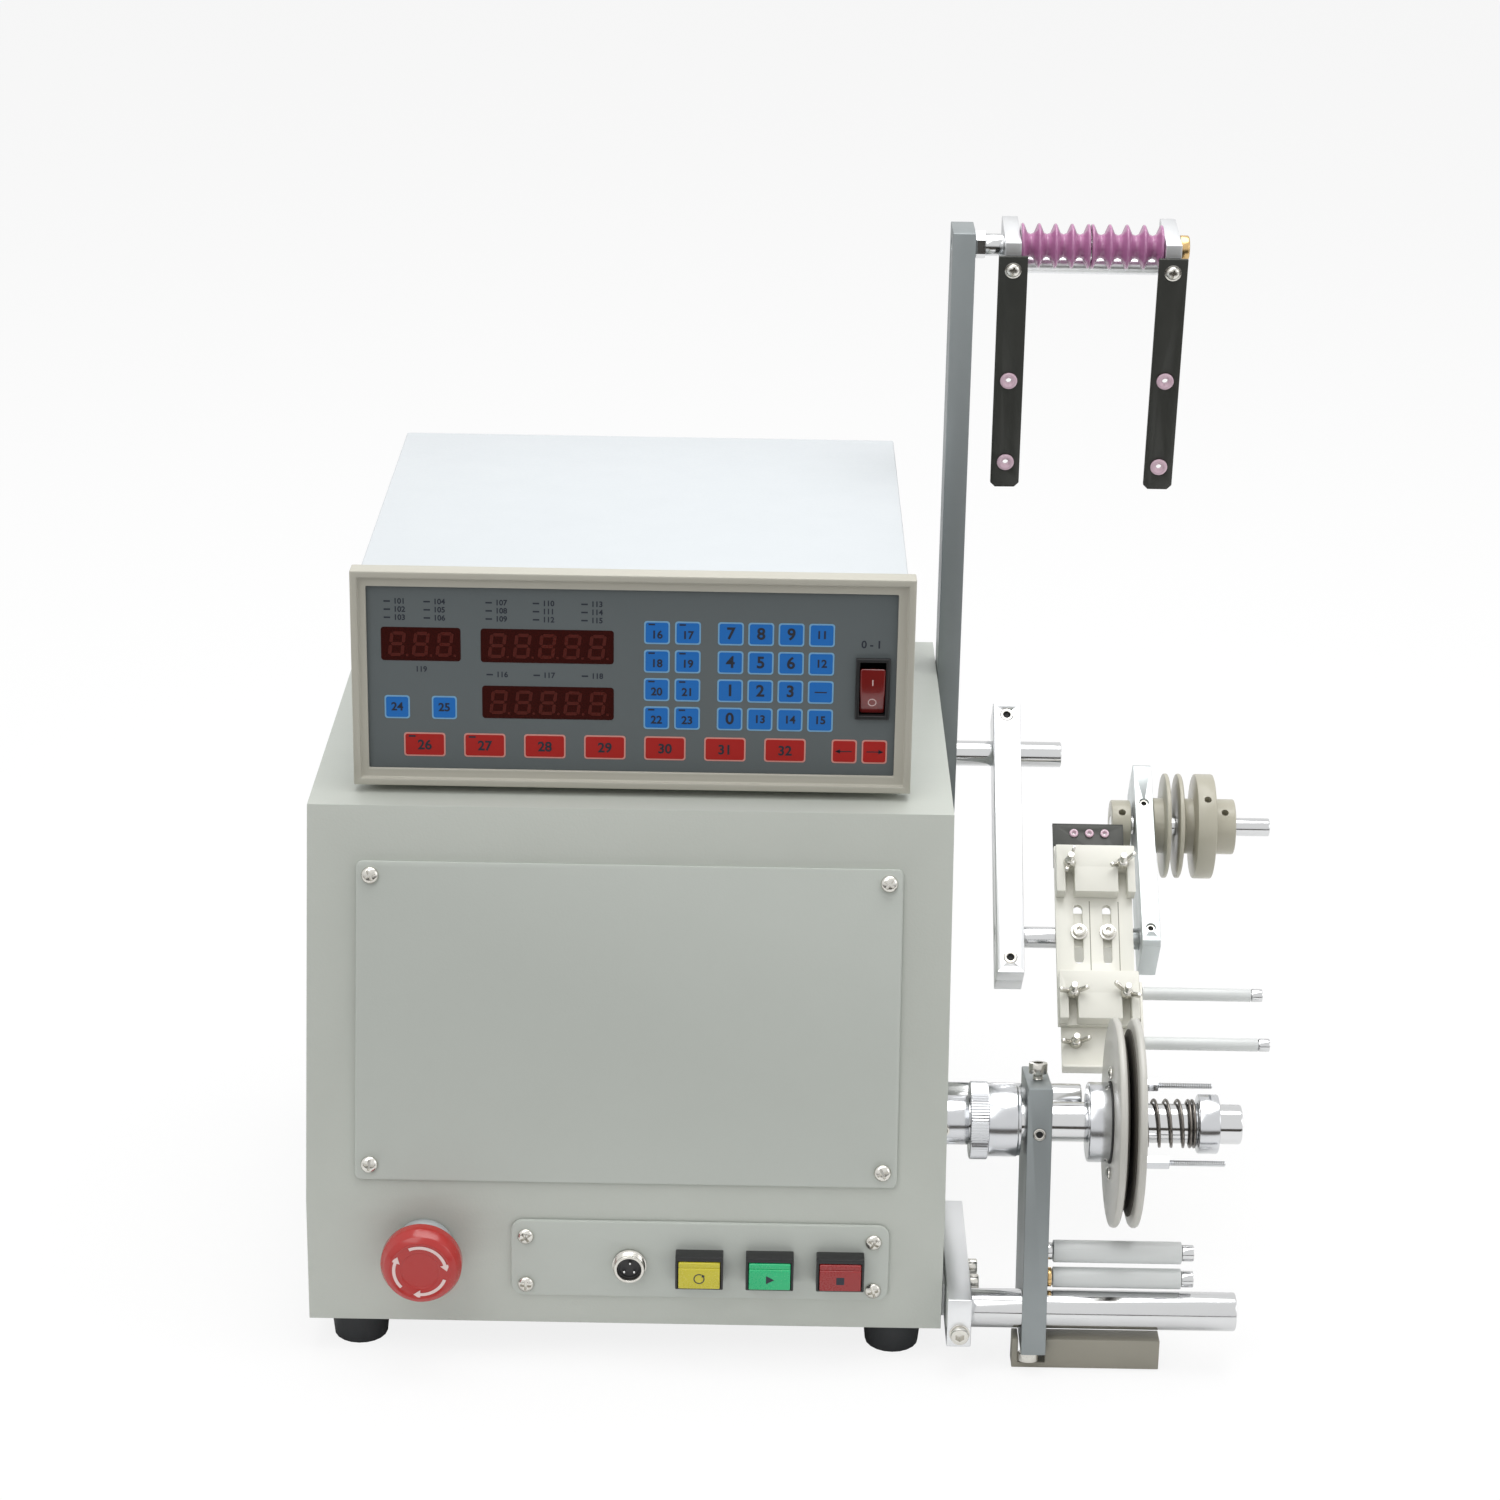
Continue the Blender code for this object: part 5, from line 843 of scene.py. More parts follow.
@dataclass
class ControllerLooks:
    """The controller on top: its case, moulded bezel, keypad, displays and power switch."""

    face: float = 68.2
    pad_x: tuple = (41.7, 56.6, 71.5, 86.5)
    step_x: tuple = (5.4, 20.6)
    row_top: tuple = (370.5, 355.6, 340.8, 326.0)
    key_width: float = 12.7
    key_height: float = 11.9
    left_keys: tuple = ((-122.9, -110.4), (-99.5, -87.1))
    left_key_z: Pair = (317.5, 329.6)
    red_x: float = -113.6
    red_step: float = 29.84
    red_width: float = 20.6
    red_count: int = 7
    arrow_keys: tuple = ((98.9, 111.5), (113.9, 126.5))
    red_z: Pair = (297.7, 310.2)
    displays: tuple = ((-124.1, -84.9, 347.9, 365.2, 3), (-75.0, -9.5, 347.7, 365.1, 5),
                       (-74.5, -9.4, 318.4, 335.4, 5))
    marks_x: tuple = (-122.4, -102.8, -72.4, -49.2, -25.4)
    marks_z: tuple = (378.5, 374.3, 370.1)
    lower_marks: tuple = ((-72.2, 341.2), (-49.0, 341.2), (-25.2, 341.2))
    lone_label: Pair = (-104.5, 343.4)
    switch_label: Pair = (117.4, 360.0)
    pad_figures: tuple = ("7", "8", "9", "", "4", "5", "6", "", "1", "2", "3", "-", "0", "", "", "")
    pad_type: float = 6.2
    key_type: float = 4.2
    left_type: float = 4.4
    red_type: float = 5.2
    label_type: float = 2.9
    switch_type: float = 4.0
    dash: Pair = (3.2, 0.8)
    key_ink: float = 67.9
    rocker: tuple = (75.1, 337.4, -9.0, 118.4)
    edge: float = 0.75

    def build(self) -> None:
        """Every piece of the controller."""
        dress("controller_painted_case", "controller_case", Looks.CASE_PAINT, 0.9, 3)
        dress("controller_moulded_bezel", "controller_bezel", Looks.BEZEL, 0.7, 3)
        refinish(Looks.PANEL, "keypad_panel")
        refinish(Looks.PAINT, "controller_tray")
        refinish(Looks.BOARD, "circuit_board")
        self.keys()
        self.legends()
        self.screens()
        self.power_switch()

    def keys(self) -> None:
        """The blue and the red keys, printed with a pale outline on the keypad's sheet."""
        blue = [(x, x + self.key_width, top - self.key_height, top) for top in self.row_top
                for x in (*self.step_x, *self.pad_x)]
        blue += [(a, b, *self.left_key_z) for a, b in self.left_keys]
        red = [(self.red_x + i * self.red_step, self.red_x + i * self.red_step + self.red_width, *self.red_z)
               for i in range(self.red_count)]
        red += [(a, b, *self.red_z) for a, b in self.arrow_keys]
        for label, keys, look, rim in (("blue", blue, Looks.BLUE_KEY, Looks.BLUE_EDGE),
                                       ("red", red, Looks.RED_KEY, Looks.RED_EDGE)):
            outline, face = Form(), Form()
            for x0, x1, z0, z1 in keys:
                outline.plus(Ink.pad(x0, x1, z0, z1, self.face - 0.12, self.face + 0.1, 1.5))
                e = self.edge
                face.plus(Ink.pad(x0 + e, x1 - e, z0 + e, z1 - e, self.face - 0.22, self.face + 0.1, 1.1))
            fit(f"{label}_key_outlines", outline, rim, "cabinet")
            fit(f"{label}_keys", face, look, "cabinet")

    def legends(self) -> None:
        """Plain figures, dashes and arrows in place of words."""
        ink = Form()
        numbers = count(11)
        self.pad_legends(ink, numbers)
        self.row_legends(ink, numbers)
        self.label_legends(ink)
        fit("key_figures", ink, Looks.INK, "cabinet")

    def pad_legends(self, ink: Form, numbers: Iterator[int]) -> None:
        """The figures of the number pad and plain numbers on the keys beside it.

        Args:
            ink: the form that they are added to.
            numbers: the plain numbers that are still free.
        """
        front = self.key_ink
        cells = [(x, top) for top in self.row_top for x in self.pad_x]
        for figure, (x, top) in zip(self.pad_figures, cells):
            middle = x + self.key_width / 2, top - self.key_height / 2
            if figure == "-":
                ink.plus(self.bar(*middle, 6.0, 0.6, front))
            elif figure:
                ink.plus(Form.figures(figure, self.pad_type, *middle, front))
            else:
                ink.plus(Form.figures(str(next(numbers)), self.key_type, *middle, front))
        for top in self.row_top:
            for x in self.step_x:
                middle = x + self.key_width / 2
                low = top - self.key_height * 0.6
                ink.plus(Form.figures(str(next(numbers)), self.key_type, middle, low, front))
                ink.plus(self.bar(middle - 2.6, top - 1.7, *self.dash, front))

    def row_legends(self, ink: Form, numbers: Iterator[int]) -> None:
        """Plain numbers on the keys at the left and in the red row, and the two arrows.

        Args:
            ink: the form that they are added to.
            numbers: the plain numbers that are still free.
        """
        front = self.key_ink
        for a, b in self.left_keys:
            z = sum(self.left_key_z) / 2
            ink.plus(Form.figures(str(next(numbers)), self.left_type, (a + b) / 2, z, front))
        z = sum(self.red_z) / 2
        for i in range(self.red_count):
            x = self.red_x + i * self.red_step + self.red_width / 2
            ink.plus(Form.figures(str(next(numbers)), self.red_type, x, z - 0.4, front))
            if i < 2:
                ink.plus(self.bar(x - 6.2, self.red_z[1] - 1.9, 3.4, 0.9, front))
        for (a, b), side in zip(self.arrow_keys, (-1, 1)):
            x = (a + b) / 2
            ink.plus(self.bar(x, z, 7.6, 0.5, front))
            tip = [(x + side * 4.6, z), (x + side * 2.0, z + 1.2), (x + side * 2.0, z - 1.2)]
            ink.plus(Form.sheet(tip, front, front + INK_DEPTH, 0.0))

    def label_legends(self, ink: Form) -> None:
        """A dash and a plain number at each label's place, with the marks over the power switch."""
        front = self.face - LABEL_LIFT
        labels = count(101)
        places = [(x, row) for x in self.marks_x for row in self.marks_z]
        for x, row in (*places, *self.lower_marks):
            ink.plus(self.bar(x + 1.5, row, *self.dash, self.face - 0.05))
            ink.plus(Form.figures(str(next(labels)), self.label_type, x + 7.6, row, front))
        ink.plus(Form.figures(str(next(labels)), self.label_type, *self.lone_label, front))
        ink.plus(Form.figures("0 - 1", self.switch_type, *self.switch_label, front))

    def bar(self, x: float, z: float, width: float, height: float, front: float) -> Form:
        """A printed dash centred on a place."""
        a, b = width / 2, height / 2
        return Ink.pad(x - a, x + a, z - b, z + b, front, front + INK_DEPTH, 0.0)

    def screens(self) -> None:
        """The three dark red display windows with their unlit figures."""
        windows, lines = Form(), Form()
        for x0, x1, z0, z1, count in self.displays:
            windows.plus(Ink.pad(x0, x1, z0, z1, self.face - 0.15, self.face + 0.1, 1.5))
            pitch = (x1 - x0 - 4.0) / count
            for i in range(count):
                x = x0 + 2.0 + (i + 0.5) * pitch
                lines.plus(self.figure(x, (z0 + z1) / 2, pitch * 0.66, (z1 - z0) * 0.74))
        fit("display_windows", windows, Looks.DISPLAY, "cabinet")
        fit("display_segments", lines, Looks.SEGMENT, "cabinet")

    def figure(self, x: float, z: float, width: float, height: float) -> Form:
        """One unlit seven-segment figure, leaning to the right."""
        made = Form()
        front = self.face - 0.2
        t = height * 0.13
        a, b = width / 2, height / 2
        flat = [(-a + t, -t / 2), (a - t, -t / 2), (a - t * 0.6, 0), (a - t, t / 2), (-a + t, t / 2),
                (-a + t * 0.6, 0)]
        tall = [(-t / 2, t * 0.7), (0, t * 0.35), (t / 2, t * 0.7), (t / 2, b - t * 0.7), (0, b - t * 0.35),
                (-t / 2, b - t * 0.7)]
        places = [(flat, 0.0, b - t / 2), (flat, 0.0, 0.0), (flat, 0.0, -b + t / 2)]
        places += [(tall, side * (a - t / 2), low) for side in (-1, 1) for low in (0.0, -b)]
        for outline, dx, dz in places:
            corners = [(x + px + dx + (pz + dz) * 0.12, z + pz + dz) for px, pz in outline]
            made.plus(Form.sheet(corners, front, front + INK_DEPTH, 0.0))
        spot = Ink.pad(x + a + 0.5, x + a + 1.6, z - b, z - b + 1.1, front, front + INK_DEPTH, 0.0)
        return made.plus(spot)

    def power_switch(self) -> None:
        """The rocker in its black frame, with its on and off marks."""
        dress("power_switch_frame", "rocker_body", Looks.BLACK, 0.35)
        dress("power_switch_rocker", "rocker_lever", Looks.ROCKER_RED, 0.9, 3, body="power_rocker")
        place = Place.at(*self.rocker)
        ring = Ink.arc(1.9, 0.42, 0.0, 360.0, False).placed(Matrix.Rotation(radians(3.7), 4, "X"))
        ring.moved(0, -8.48, -6.0)
        line = Ink.pad(-0.25, 0.25, -1.6, 1.6, 0.0, 0.06, 0.0).placed(Matrix.Rotation(radians(-3.7), 4, "X"))
        line.moved(0, -8.48, 5.0)
        fit("power_switch_marks", ring.plus(line), Looks.WHITE_INK, "power_rocker", place=place)


@dataclass
class StandLooks:
    """The tall bar with the ceramic guide rollers and the two eyelet plates."""

    axle: Pair = (272.0, 515.5)
    tilt: float = -8.3
    rollers: tuple = (("left", 196.9, 233.4), ("right", 234.0, 271.9))
    rib: float = 11.8
    groove: float = 6.1
    ribs: int = 5
    plates: tuple = (("left", 192.35, -0.6, (-70.2, -117.6)), ("right", 276.55, 0.0, (-69.0, -119.0)))
    plate_face: float = -17.3
    screw_z: float = -7.6

    def build(self) -> None:
        """Every piece of the wire stand."""
        dress("stand_flat_bar", "stand_arm", Looks.DULL, 0.6)
        axle = Place.at(*self.axle)
        shaft = Form.tube(160.8, 285.6, 0, 3.9, 0.4)
        shaft.plus(Form.tube(172.7, 178.3, 4, 7.4, 0.5, 6))
        shaft.plus(Form.tube(178.2, 187.7, 4, 5.9, 0.4))
        fit("stand_axle_and_nut", shaft, Looks.ROD, "cabinet", "stand_axle", place=axle)
        cap = Form.turned([(281.1, 4.2), (281.1, 6.7), (285.4, 6.6), (286.0, 5.8), (286.0, 4.2)], 0.4)
        fit("stand_axle_brass_cap", cap, Looks.BRASS, "cabinet", place=axle)
        dress("yoke_blocks_and_tie", "roller_yoke", Looks.BRIGHT, 0.5, body="wire_yoke")
        for label, x0, x1 in self.rollers:
            self.roller(label, x0, x1, axle)
        leaning = Place.at(*self.axle, self.tilt)
        for label, x, swing, eyes in self.plates:
            node = f"eyelet_plate_{label}"
            dress(f"{label}_eyelet_sheet", node, Looks.BLACKENED, 0.3, body="wire_yoke")
            turn = Matrix.Translation((x, 0, 0)) @ Matrix.Rotation(radians(swing), 4, "Y")
            for i, z in enumerate(eyes):
                self.eyelet(f"{label}_eyelet_{i + 1}", leaning @ turn @ Matrix.Translation((0, 0, z)))
            screw = BOLTS.pan(3.6, (78.0,), 4.4).moved(0, self.plate_face, self.screw_z)
            fit(f"{label}_eyelet_sheet_screw", screw, Looks.SCREW, "wire_yoke", place=leaning @ turn)

    def roller(self, label: str, x0: float, x1: float, place: Matrix) -> None:
        """A glazed roller with five rounded ribs.

        Args:
            label: left or right.
            x0: where it starts.
            x1: where it ends.
            place: the axle.
        """
        pitch = (x1 - x0 - 1.6) / (self.ribs - 1)
        profile = [(x0, 4.3)]
        for i in range(self.ribs):
            a = x0 + 0.8 + i * pitch
            low = self.rib - 0.5
            profile += [(a - 0.8, low), (a - 0.3, self.rib), (a + 0.3, self.rib), (a + 0.8, low)]
            if i < self.ribs - 1:
                for share in (0.3, 0.4, 0.5, 0.6, 0.7):
                    dip = 1 - abs(share - 0.5) * 2
                    deep = (self.rib - self.groove) * (0.62 + 0.38 * dip)
                    profile.append((a + pitch * share, self.rib - deep))
        profile += [(x1, 4.3)]
        fit(f"{label}_glazed_roller", Form.turned(profile, 0.3, FINE_STEPS), Looks.CERAMIC,
            f"{label}_roller", f"ceramic_roller_{label}", place=place, crease=50.0)

    def eyelet(self, name: str, place: Matrix) -> None:
        """A ceramic eyelet through the sheet."""
        ring = Form.turned([(15.0, 1.5), (15.0, 2.9), (17.4, 2.9), (17.4, 4.7), (18.5, 4.5), (18.9, 3.2),
                            (18.0, 1.6)],
                           0.35, 36)
        fit(name, ring.placed(TOWARDS_VIEWER), Looks.EYELET, "wire_yoke", place=place)


@dataclass
class TraverseLooks:
    """The rod that carries the guide along, and everything that is clamped to it."""

    rod: Pair = (272.0, 228.2)
    link_lean: float = 45.5
    link_span: float = 109.8
    plate_lean: float = 48.0
    guide_lean: float = 55.0
    guide_span: float = 74.2
    link_screws: tuple = (18.3, -126.6)
    link_half: float = 12.3
    link_x: float = 200.6
    carriage_end: float = 70.5
    pad_x: Pair = (225.6, 268.3)
    notches: tuple = ((230.4, 235.4), (259.0, 264.0))
    pads: tuple = (("upper", 18.0, 46.0, (72.0, 28.0), 0.0), ("lower", -56.6, -28.6, (6.0, 150.0), -2.2))
    pad_y: Pair = (-21.7, -13.3)
    slots: tuple = (237.4, 253.0)
    strip_eyes: tuple = (236.8, 245.3, 253.7)
    strip_eye_z: float = 58.8
    rollers: tuple = ((-14.7, -38.8, 328.4), (-12.5, -66.6, 331.2))
    bracket_x: Pair = (227.0, 270.1)
    guide_x: Pair = (271.3, 281.2)
    guide_half: float = 17.3
    guide_screws: tuple = (78.0, -3.0)

    def build(self) -> None:
        """Every piece of the traverse."""
        rod = Form.tube(44, 231.1, 0, 7.0, 0.7)
        fit("traverse_ground_rod", rod, Looks.ROD, "traverse", place=Place.at(*self.rod))
        carriage = Form.of_node("traverse_rod")
        beyond = [v for v in carriage.shape.verts if v.co.x > self.carriage_end]
        bmesh.ops.delete(carriage.shape, geom=beyond, context="VERTS")
        edges = [e for e in carriage.shape.edges if e.is_boundary]
        bmesh.ops.holes_fill(carriage.shape, edges=edges)
        fit("traverse_carriage", carriage.softened(0.5), Looks.ANODISED, "traverse", "traverse_rod")
        refinish(Looks.ROD, "lead_screw")
        refinish(Looks.BLACK, "traverse_motor")
        self.link()
        self.tensioner()
        self.guide()

    def cross(self) -> Pair:
        """Where the cross rod lies, in y and z."""
        lean = radians(self.link_lean)
        return self.rod[0] - self.link_span * sin(lean), self.rod[1] - self.link_span * cos(lean)

    def link(self) -> None:
        """The bright bar from the rod down to the cross rod, with its two clamp screws."""
        place = Place.at(*self.rod, self.link_lean)
        bar = Form.of_node("link_bar").softened(0.5, 2)
        holes = [Form.drill(8, 20, 3.8, self.link_x, z).placed(place) for z in self.link_screws]
        fit("link_flat_bar", bar.minus(*holes), Looks.BRIGHT, "link", "link_bar")
        for i, z in enumerate(self.link_screws):
            seat = place @ Place.at(-self.link_half + 2.3, z, 0, self.link_x)
            socket_screw(f"link_clamp_screw_{i + 1}", 3.6, seat, "link")
        rod = Form.tube(193.5, 281, 0, 5.8, 0.6)
        fit("cross_ground_rod", rod, Looks.ROD, "link", "cross_rod", place=Place.at(*self.cross()))

    def tensioner(self) -> None:
        """The slotted plate with its felted pads, the eyelet strip and the sheet with the guide rollers."""
        place = Place.at(*self.cross(), self.plate_lean)
        dress("tension_slotted_plate", "tension_plate", Looks.CREAM, 0.35, body="tensioner")
        for i, x in enumerate(self.slots):
            screw = BOLTS.cap(3.5, 3.6, 4.6).moved(x + 0.4, -13.2, -2.4)
            fit(f"tension_plate_screw_{i + 1}", screw, Looks.SCREW, "tensioner", place=place)
            # A thin dark strip beside each slot: painted shade of a groove line, not a cut.
            groove = Form.cuboid((x + 6.1, -13.06, -30), (x + 6.6, -12.9, 16), 0.0)
            fit(f"tension_plate_groove_{i + 1}", groove, Looks.REST, "tensioner", place=place)
        for label, z0, z1, turns, shift in self.pads:
            self.pad(label, z0, z1, turns, shift, place)
        dress("wire_eye_strip", "eyelet_strip", Looks.BLACKENED, 0.25, body="tensioner")
        for i, x in enumerate(self.strip_eyes):
            ring = Form.turned([(7.0, 1.0), (7.0, 1.6), (9.4, 1.6), (9.4, 2.5), (10.3, 2.3), (10.5, 1.6),
                                (10.1, 1.0)],
                               0.2, 28).placed(TOWARDS_VIEWER).moved(x, 0, self.strip_eye_z)
            fit(f"wire_eye_{i + 1}", ring, Looks.EYELET, "tensioner", place=place)
        self.roller_sheet(place)

    def pad(self, label: str, z0: float, z1: float, turns: Pair, shift: float, place: Matrix) -> None:
        """One clamp pad with its two wing nuts.

        Args:
            label: upper or lower.
            z0: its lower edge.
            z1: its upper edge.
            turns: how far each wing nut is turned.
            shift: how far its nuts sit above the notches' ends.
            place: the plate's place.
        """
        a, b = self.pad_x
        (n0, n1), (n2, n3) = self.notches
        deep = z0 + 15.0
        outline = [(a, z0), (n0, z0), (n0, deep), (n1, deep), (n1, z0), (n2, z0), (n2, deep), (n3, deep),
                   (n3, z0), (b, z0), (b, z1), (a, z1)]
        front, back = self.pad_y
        slab = Form.sheet(outline, front, back, 0.5, 0.6, 2)
        fit(f"{label}_clamp_pad_body", slab, Looks.CREAM, f"{label}_pad", f"clamp_pad_{label}", place=place)
        felt = Form.sheet([(a + 0.4, z0 + 0.4), (n0 - 0.4, z0 + 0.4), (n0 - 0.4, deep + 0.4),
                           (n1 + 0.4, deep + 0.4), (n1 + 0.4, z0 + 0.4), (n2 - 0.4, z0 + 0.4),
                           (n2 - 0.4, deep + 0.4), (n3 + 0.4, deep + 0.4), (n3 + 0.4, z0 + 0.4),
                           (b - 0.4, z0 + 0.4), (b - 0.4, z1 - 0.4), (a + 0.4, z1 - 0.4)],
                          back - 0.02, back + 0.25, 0.0)
        fit(f"{label}_clamp_pad_felt", felt, Looks.FELT, f"{label}_pad", place=place)
        for i, ((c, d), turn) in enumerate(zip(self.notches, turns)):
            nut = BOLTS.wing(turn, 10.5).moved((c + d) / 2, front, deep + 1.9 + shift)
            fit(f"{label}_wing_nut_{i + 1}", nut, Looks.SCREW, f"{label}_pad", place=place)

    def roller_sheet(self, place: Matrix) -> None:
        """The bent sheet below with its wing nut and its two white rollers on steel pins."""
        x0, x1 = self.bracket_x
        sheet = Form.cuboid((x0, -9.3, -81.5), (x1, -7.8, -34), 0.3)
        sheet.plus(Form.cuboid((x0, -16.3, -84.5), (x1 - 3, -7.8, -83.0), 0.3).placed(
            Matrix.Translation((0, 0, 1.8))))
        sheet.plus(Form.cuboid((x1 - 1.5, -19.0, -73.6), (x1, -7.8, -34), 0.3))
        fit("roller_bent_sheet", sheet, Looks.CREAM, "tensioner", "roller_bracket", place=place)
        nut = BOLTS.wing(8.0, 10.5).moved(x0 + 7.5, -9.3, -66.0)
        fit("roller_sheet_wing_nut", nut, Looks.SCREW, "tensioner", place=place)
        for i, (y, z, end) in enumerate(self.rollers):
            stem = Form.tube(x1 - 0.5, end + 3, 0, 2.0, 0.2, SMALL_STEPS)
            stem.plus(Form.tube(end + 0.3, end + 6.2, 0, 3.5, 0.5))
            fit(f"guide_roller_pin_{i + 1}", stem.moved(0, y, z), Looks.ROD, "tensioner", place=place)
            sleeve = Form.tube(x1 + 0.3, end, 2.3, 3.5, 0.3)
            fit(f"white_guide_roller_{i + 1}", sleeve.moved(0, y, z), Looks.NYLON,
                ("roller_one", "roller_two")[i], f"guide_roller_{i + 1}", place=place)

    def guide(self) -> None:
        """The arm up to the pulley with its set screws, the axle with its collar and the two wheels."""
        place = Place.at(*self.cross(), self.guide_lean)
        middle = sum(self.guide_x) / 2
        arm = Form.of_node("guide_arm").softened(0.4, 2)
        holes = [Form.drill(10, 24, 2.7, middle, z).placed(place) for z in self.guide_screws]
        fit("guide_flat_arm", arm.minus(*holes), Looks.ANODISED, "guide", "guide_arm")
        for i, z in enumerate(self.guide_screws):
            seat = place @ Place.at(-self.guide_half + 3.6, z, 0, middle)
            socket_screw(f"guide_arm_set_screw_{i + 1}", 2.5, seat, "guide")
        lean = radians(self.guide_lean)
        y, z = self.cross()
        axle = Place.at(y + self.guide_span * sin(lean), z + self.guide_span * cos(lean))
        shaft = Form.tube(258.8, 347.0, 0, 5.0, 0.7)
        fit("pulley_ground_axle", shaft, Looks.ROD, "guide", "pulley_axle", place=axle)
        collar = Form.tube(258.8, 269.4, 5.1, 13.8, 0.7, FINE_STEPS)
        fit("pulley_axle_collar", self.tapped(collar, 264.4, 13.8), Looks.IVORY, "guide", place=axle)
        inner = Form.turned([(281.6, 5.3), (281.6, 15.3), (287.6, 15.3), (287.6, 29.0), (290.0, 29.0),
                             (290.0, 5.3)],
                            0.7, FINE_STEPS)
        fit("inner_pulley_wheel", inner, Looks.IVORY, "inner_wheel", "guide_wheel_inner", place=axle)
        outer = Form.turned([(294.8, 5.3), (294.8, 29.0), (297.2, 29.0), (299.2, 15.3), (304.2, 15.3),
                             (304.6, 29.0), (314.9, 29.0), (314.9, 15.3), (327.1, 15.3), (327.1, 5.3)], 0.8,
                             FINE_STEPS)
        outer = self.tapped(self.tapped(outer, 310.0, 29.0), 321.0, 15.3)
        fit("outer_pulley_wheel", outer, Looks.IVORY, "outer_wheel", "guide_wheel_outer", place=axle)

    def tapped(self, form: Form, x: float, radius: float) -> Form:
        """A set screw's hole, drilled in from the upper front."""
        hole = Form.tube(radius - 5, radius + 3, 0, 2.0, 0.0, SMALL_STEPS)
        hole.placed(Matrix.Translation((x, 0, 0)) @ Matrix.Rotation(radians(-52), 4, "X") @ TOWARDS_VIEWER)
        return form.minus(hole)


